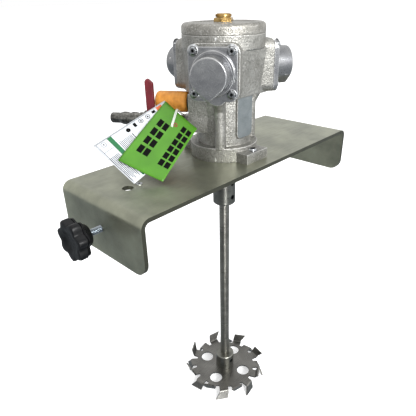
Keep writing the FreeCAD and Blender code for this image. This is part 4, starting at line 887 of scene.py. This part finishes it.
# ruled lines: how many, where the first starts and ends down the leaflet, and the step to the next
lowRules = {"count": 7, "start": 0.865, "end": 0.872, "step": 0.019, "left": 0.38, "right": 0.94,
            "shorter": 0.04}
midRules = {"count": 10, "start": 0.60, "end": 0.606, "step": 0.018, "left": 0.22, "right": 0.72}
leafletPrint = {
    "frame": [(0.30, 0.022, 0.975, 0.027), (0.978, 0.03, 0.982, 0.98), (0.85, 0.24, 0.98, 0.245)],
    "band": [(0.785, 0.03, 0.84, 0.98)],
    "patch": [(0.07, 0.03, 0.15, 0.30)],
    "marks": [(0.178, 0.05, 0.225, 0.11), (0.465, 0.055, 0.50, 0.15), (0.572, 0.22, 0.582, 0.33),
              (0.905, 0.085, 0.918, 0.115)],
    "rings": [(0.295, 0.10, 2.7, 2.1), (0.295, 0.10, 1.0, 0.1), (0.395, 0.10, 2.7, 2.1),
              (0.395, 0.10, 1.0, 0.1), (0.585, 0.12, 2.5, 0.1), (0.912, 0.10, 2.8, 2.5)],
    "gap": 0.03 * mm,
}


def tagBlocks():
    blocks = []
    for line in tagPrint:
        for step in range(line["count"]):
            middle = line["first"] + line["step"] * step
            blocks += [(middle - line["half"], left, middle + line["half"], right)
                       for left, right in line["columns"]]
    return blocks


def leafletRules():
    # every third line of the lower text is full, the others end earlier
    low, mid = lowRules, midRules
    rules = [(low["start"] + low["step"] * step, low["left"], low["end"] + low["step"] * step,
              low["right"] - low["shorter"] * (step % 3)) for step in range(low["count"])]
    rules += [(mid["start"] + mid["step"] * step, mid["left"], mid["end"] + mid["step"] * step, mid["right"])
              for step in range(mid["count"])]
    return rules + leafletPrint["frame"]


makeCard("greenCard", tag, "inspection_tag", finishes["green"])
makeCard("leafletSheet", leaflet, "instruction_leaflet", finishes["paper"])
printed("cardBlocks", tag, tagBlocks(), finishes["black"])
printedRings("cardEyelet", tag, [tagEyelet["ring"]], finishes["eyelet"], tagEyelet["tall"])
printed("leafletRules", leaflet, leafletRules(), finishes["grey"])
printed("leafletBand", leaflet, leafletPrint["band"], finishes["band"], leafletPrint["gap"])
printed("leafletPatch", leaflet, leafletPrint["patch"], finishes["patch"], leafletPrint["gap"])
printed("leafletMarks", leaflet, leafletPrint["marks"], finishes["black"], leafletPrint["gap"])
printedRings("leafletRings", leaflet, leafletPrint["rings"], finishes["black"])
print("cards printed")


floorLook = {"reach": 40.0, "below": 0.5 * mm, "colour": "#FCFCFC", "rough": 0.9, "glow": 0.4}


def makeFloor(look):
    low = cadBounds[0][2] - look["below"]
    corners = [(x * look["reach"], y * look["reach"], low) for x, y in ((-1, -1), (1, -1), (1, 1), (-1, 1))]
    paint = startMaterial("paleFloor", look, Emission_Strength=look["glow"])[0]
    floor = meshPiece("floor", corners, [(0, 1, 2, 3)], paint, False)
    # metal mirrors the studio's darker lower half instead of the floor, as over a light table
    floor.visible_glossy = False
    floor.visible_shadow = False


studio = {"sky": "#FFFFFF", "strength": 1.0, "horizon": (-0.05, -0.25), "lowTint": "#DAE4EC", "lowDark": 0.52,
          "darkWay": (-0.785, -0.366, -0.50), "darkSpan": (0.5, 0.95), "darkMore": 0.2,
          "brightWay": (0.50, -0.83, 0.25), "brightSpan": (0.72, 0.95), "brightMore": 0.9}


def makeStudio(look):
    # pale room with a darker card low on the camera's side and a bright wall to the right
    world = bpy.data.worlds.new("studio")
    world.use_nodes = True
    tree = world.node_tree
    tree.nodes.clear()
    way = addNode(tree, "ShaderNodeTexCoord").outputs["Generated"]
    height = addNode(tree, "ShaderNodeSeparateXYZ", links={0: way}).outputs["Z"]
    start, end = look["horizon"]
    below = addNode(tree, "ShaderNodeMapRange", {"From Min": start, "From Max": end}, {"Value": height})
    lobes = []
    for side in ("dark", "bright"):
        near = addNode(tree, "ShaderNodeVectorMath", {"operation": "DOT_PRODUCT", 1: look[side + "Way"]},
                       {0: way})
        start, end = look[side + "Span"]
        lobes.append(addNode(tree, "ShaderNodeMapRange", {
            "From Min": start, "From Max": end, "To Max": look[side + "More"]},
            {"Value": near.outputs["Value"]}))
    lowCard, wall = lobes
    both = addNode(tree, "ShaderNodeMath", {"operation": "ADD", 1: look["lowDark"]}, {0: lowCard.outputs[0]})
    dark = addNode(tree, "ShaderNodeMath", {"operation": "MULTIPLY"},
                   {0: both.outputs[0], 1: below.outputs[0]})
    less = addNode(tree, "ShaderNodeMath", {"operation": "SUBTRACT", 0: look["strength"]},
                   {1: dark.outputs[0]})
    power = addNode(tree, "ShaderNodeMath", {"operation": "ADD"}, {0: less.outputs[0], 1: wall.outputs[0]})
    tint = addNode(tree, "ShaderNodeMix", {
        "data_type": "RGBA", 6: hexColour(look["sky"]), 7: hexColour(look["lowTint"])},
        {"Factor": below.outputs[0]})
    room = addNode(tree, "ShaderNodeBackground", links={
        "Color": tint.outputs[2], "Strength": power.outputs[0]})
    addNode(tree, "ShaderNodeOutputWorld", links={"Surface": room.outputs[0]})
    bpy.context.scene.world = world
    bpy.context.scene.view_settings.view_transform = "Standard"


# metres and watts
lights = {
    "keyBesideCamera": {"spot": (-0.39, -1.0, 0.5), "target": (0, 0, 0.04), "power": 14, "size": (0.4, 0.5)},
    "bandForCaps": {"spot": (-0.15, -1.0, 0.56), "target": (0.05, 0, 0.09), "power": 3, "size": (0.16, 0.16)},
    "stripForBars": {"spot": (-0.68, -1.0, -0.55), "target": (0, 0, -0.2), "power": 4, "size": (0.10, 0.8)},
    "softFromAbove": {"spot": (0.1, 0.2, 1.3), "target": (0, 0, 0), "power": 3, "size": (0.9, 0.9)},
}


def addLight(name, look):
    light = bpy.data.lights.new(name, "AREA")
    light.shape = "RECTANGLE"
    light.size, light.size_y = look["size"]
    light.energy = look["power"]
    spot = Vector(look["spot"])
    holder = bpy.data.objects.new(name, light)
    holder.location = spot
    holder.rotation_euler = (Vector(look["target"]) - spot).to_track_quat("-Z", "Y").to_euler()
    holder.visible_camera = False
    bpy.context.scene.collection.objects.link(holder)


cameraLook = {"spot": (-0.33229, -0.29530, 0.15760), "way": (0.64144, 0.62182, -0.44932), "roll": -1.3303,
              "lens": 36.22, "sensor": 36}


def makeCamera(look):
    lens = bpy.data.cameras.new("camera")
    lens.sensor_width = look["sensor"]
    lens.lens = look["lens"]
    lens.clip_start = 0.01
    camera = bpy.data.objects.new("camera", lens)
    upright = Vector(look["way"]).to_track_quat("-Z", "Y").to_matrix().to_4x4()
    camera.matrix_world = (Matrix.Translation(look["spot"]) @ upright
                           @ Matrix.Rotation(math.radians(look["roll"]), 4, "Z"))
    bpy.context.scene.collection.objects.link(camera)
    bpy.context.scene.camera = camera


makeFloor(floorLook)
makeStudio(studio)
for name, look in lights.items():
    addLight(name, look)
makeCamera(cameraLook)
print("floor, light and camera set")
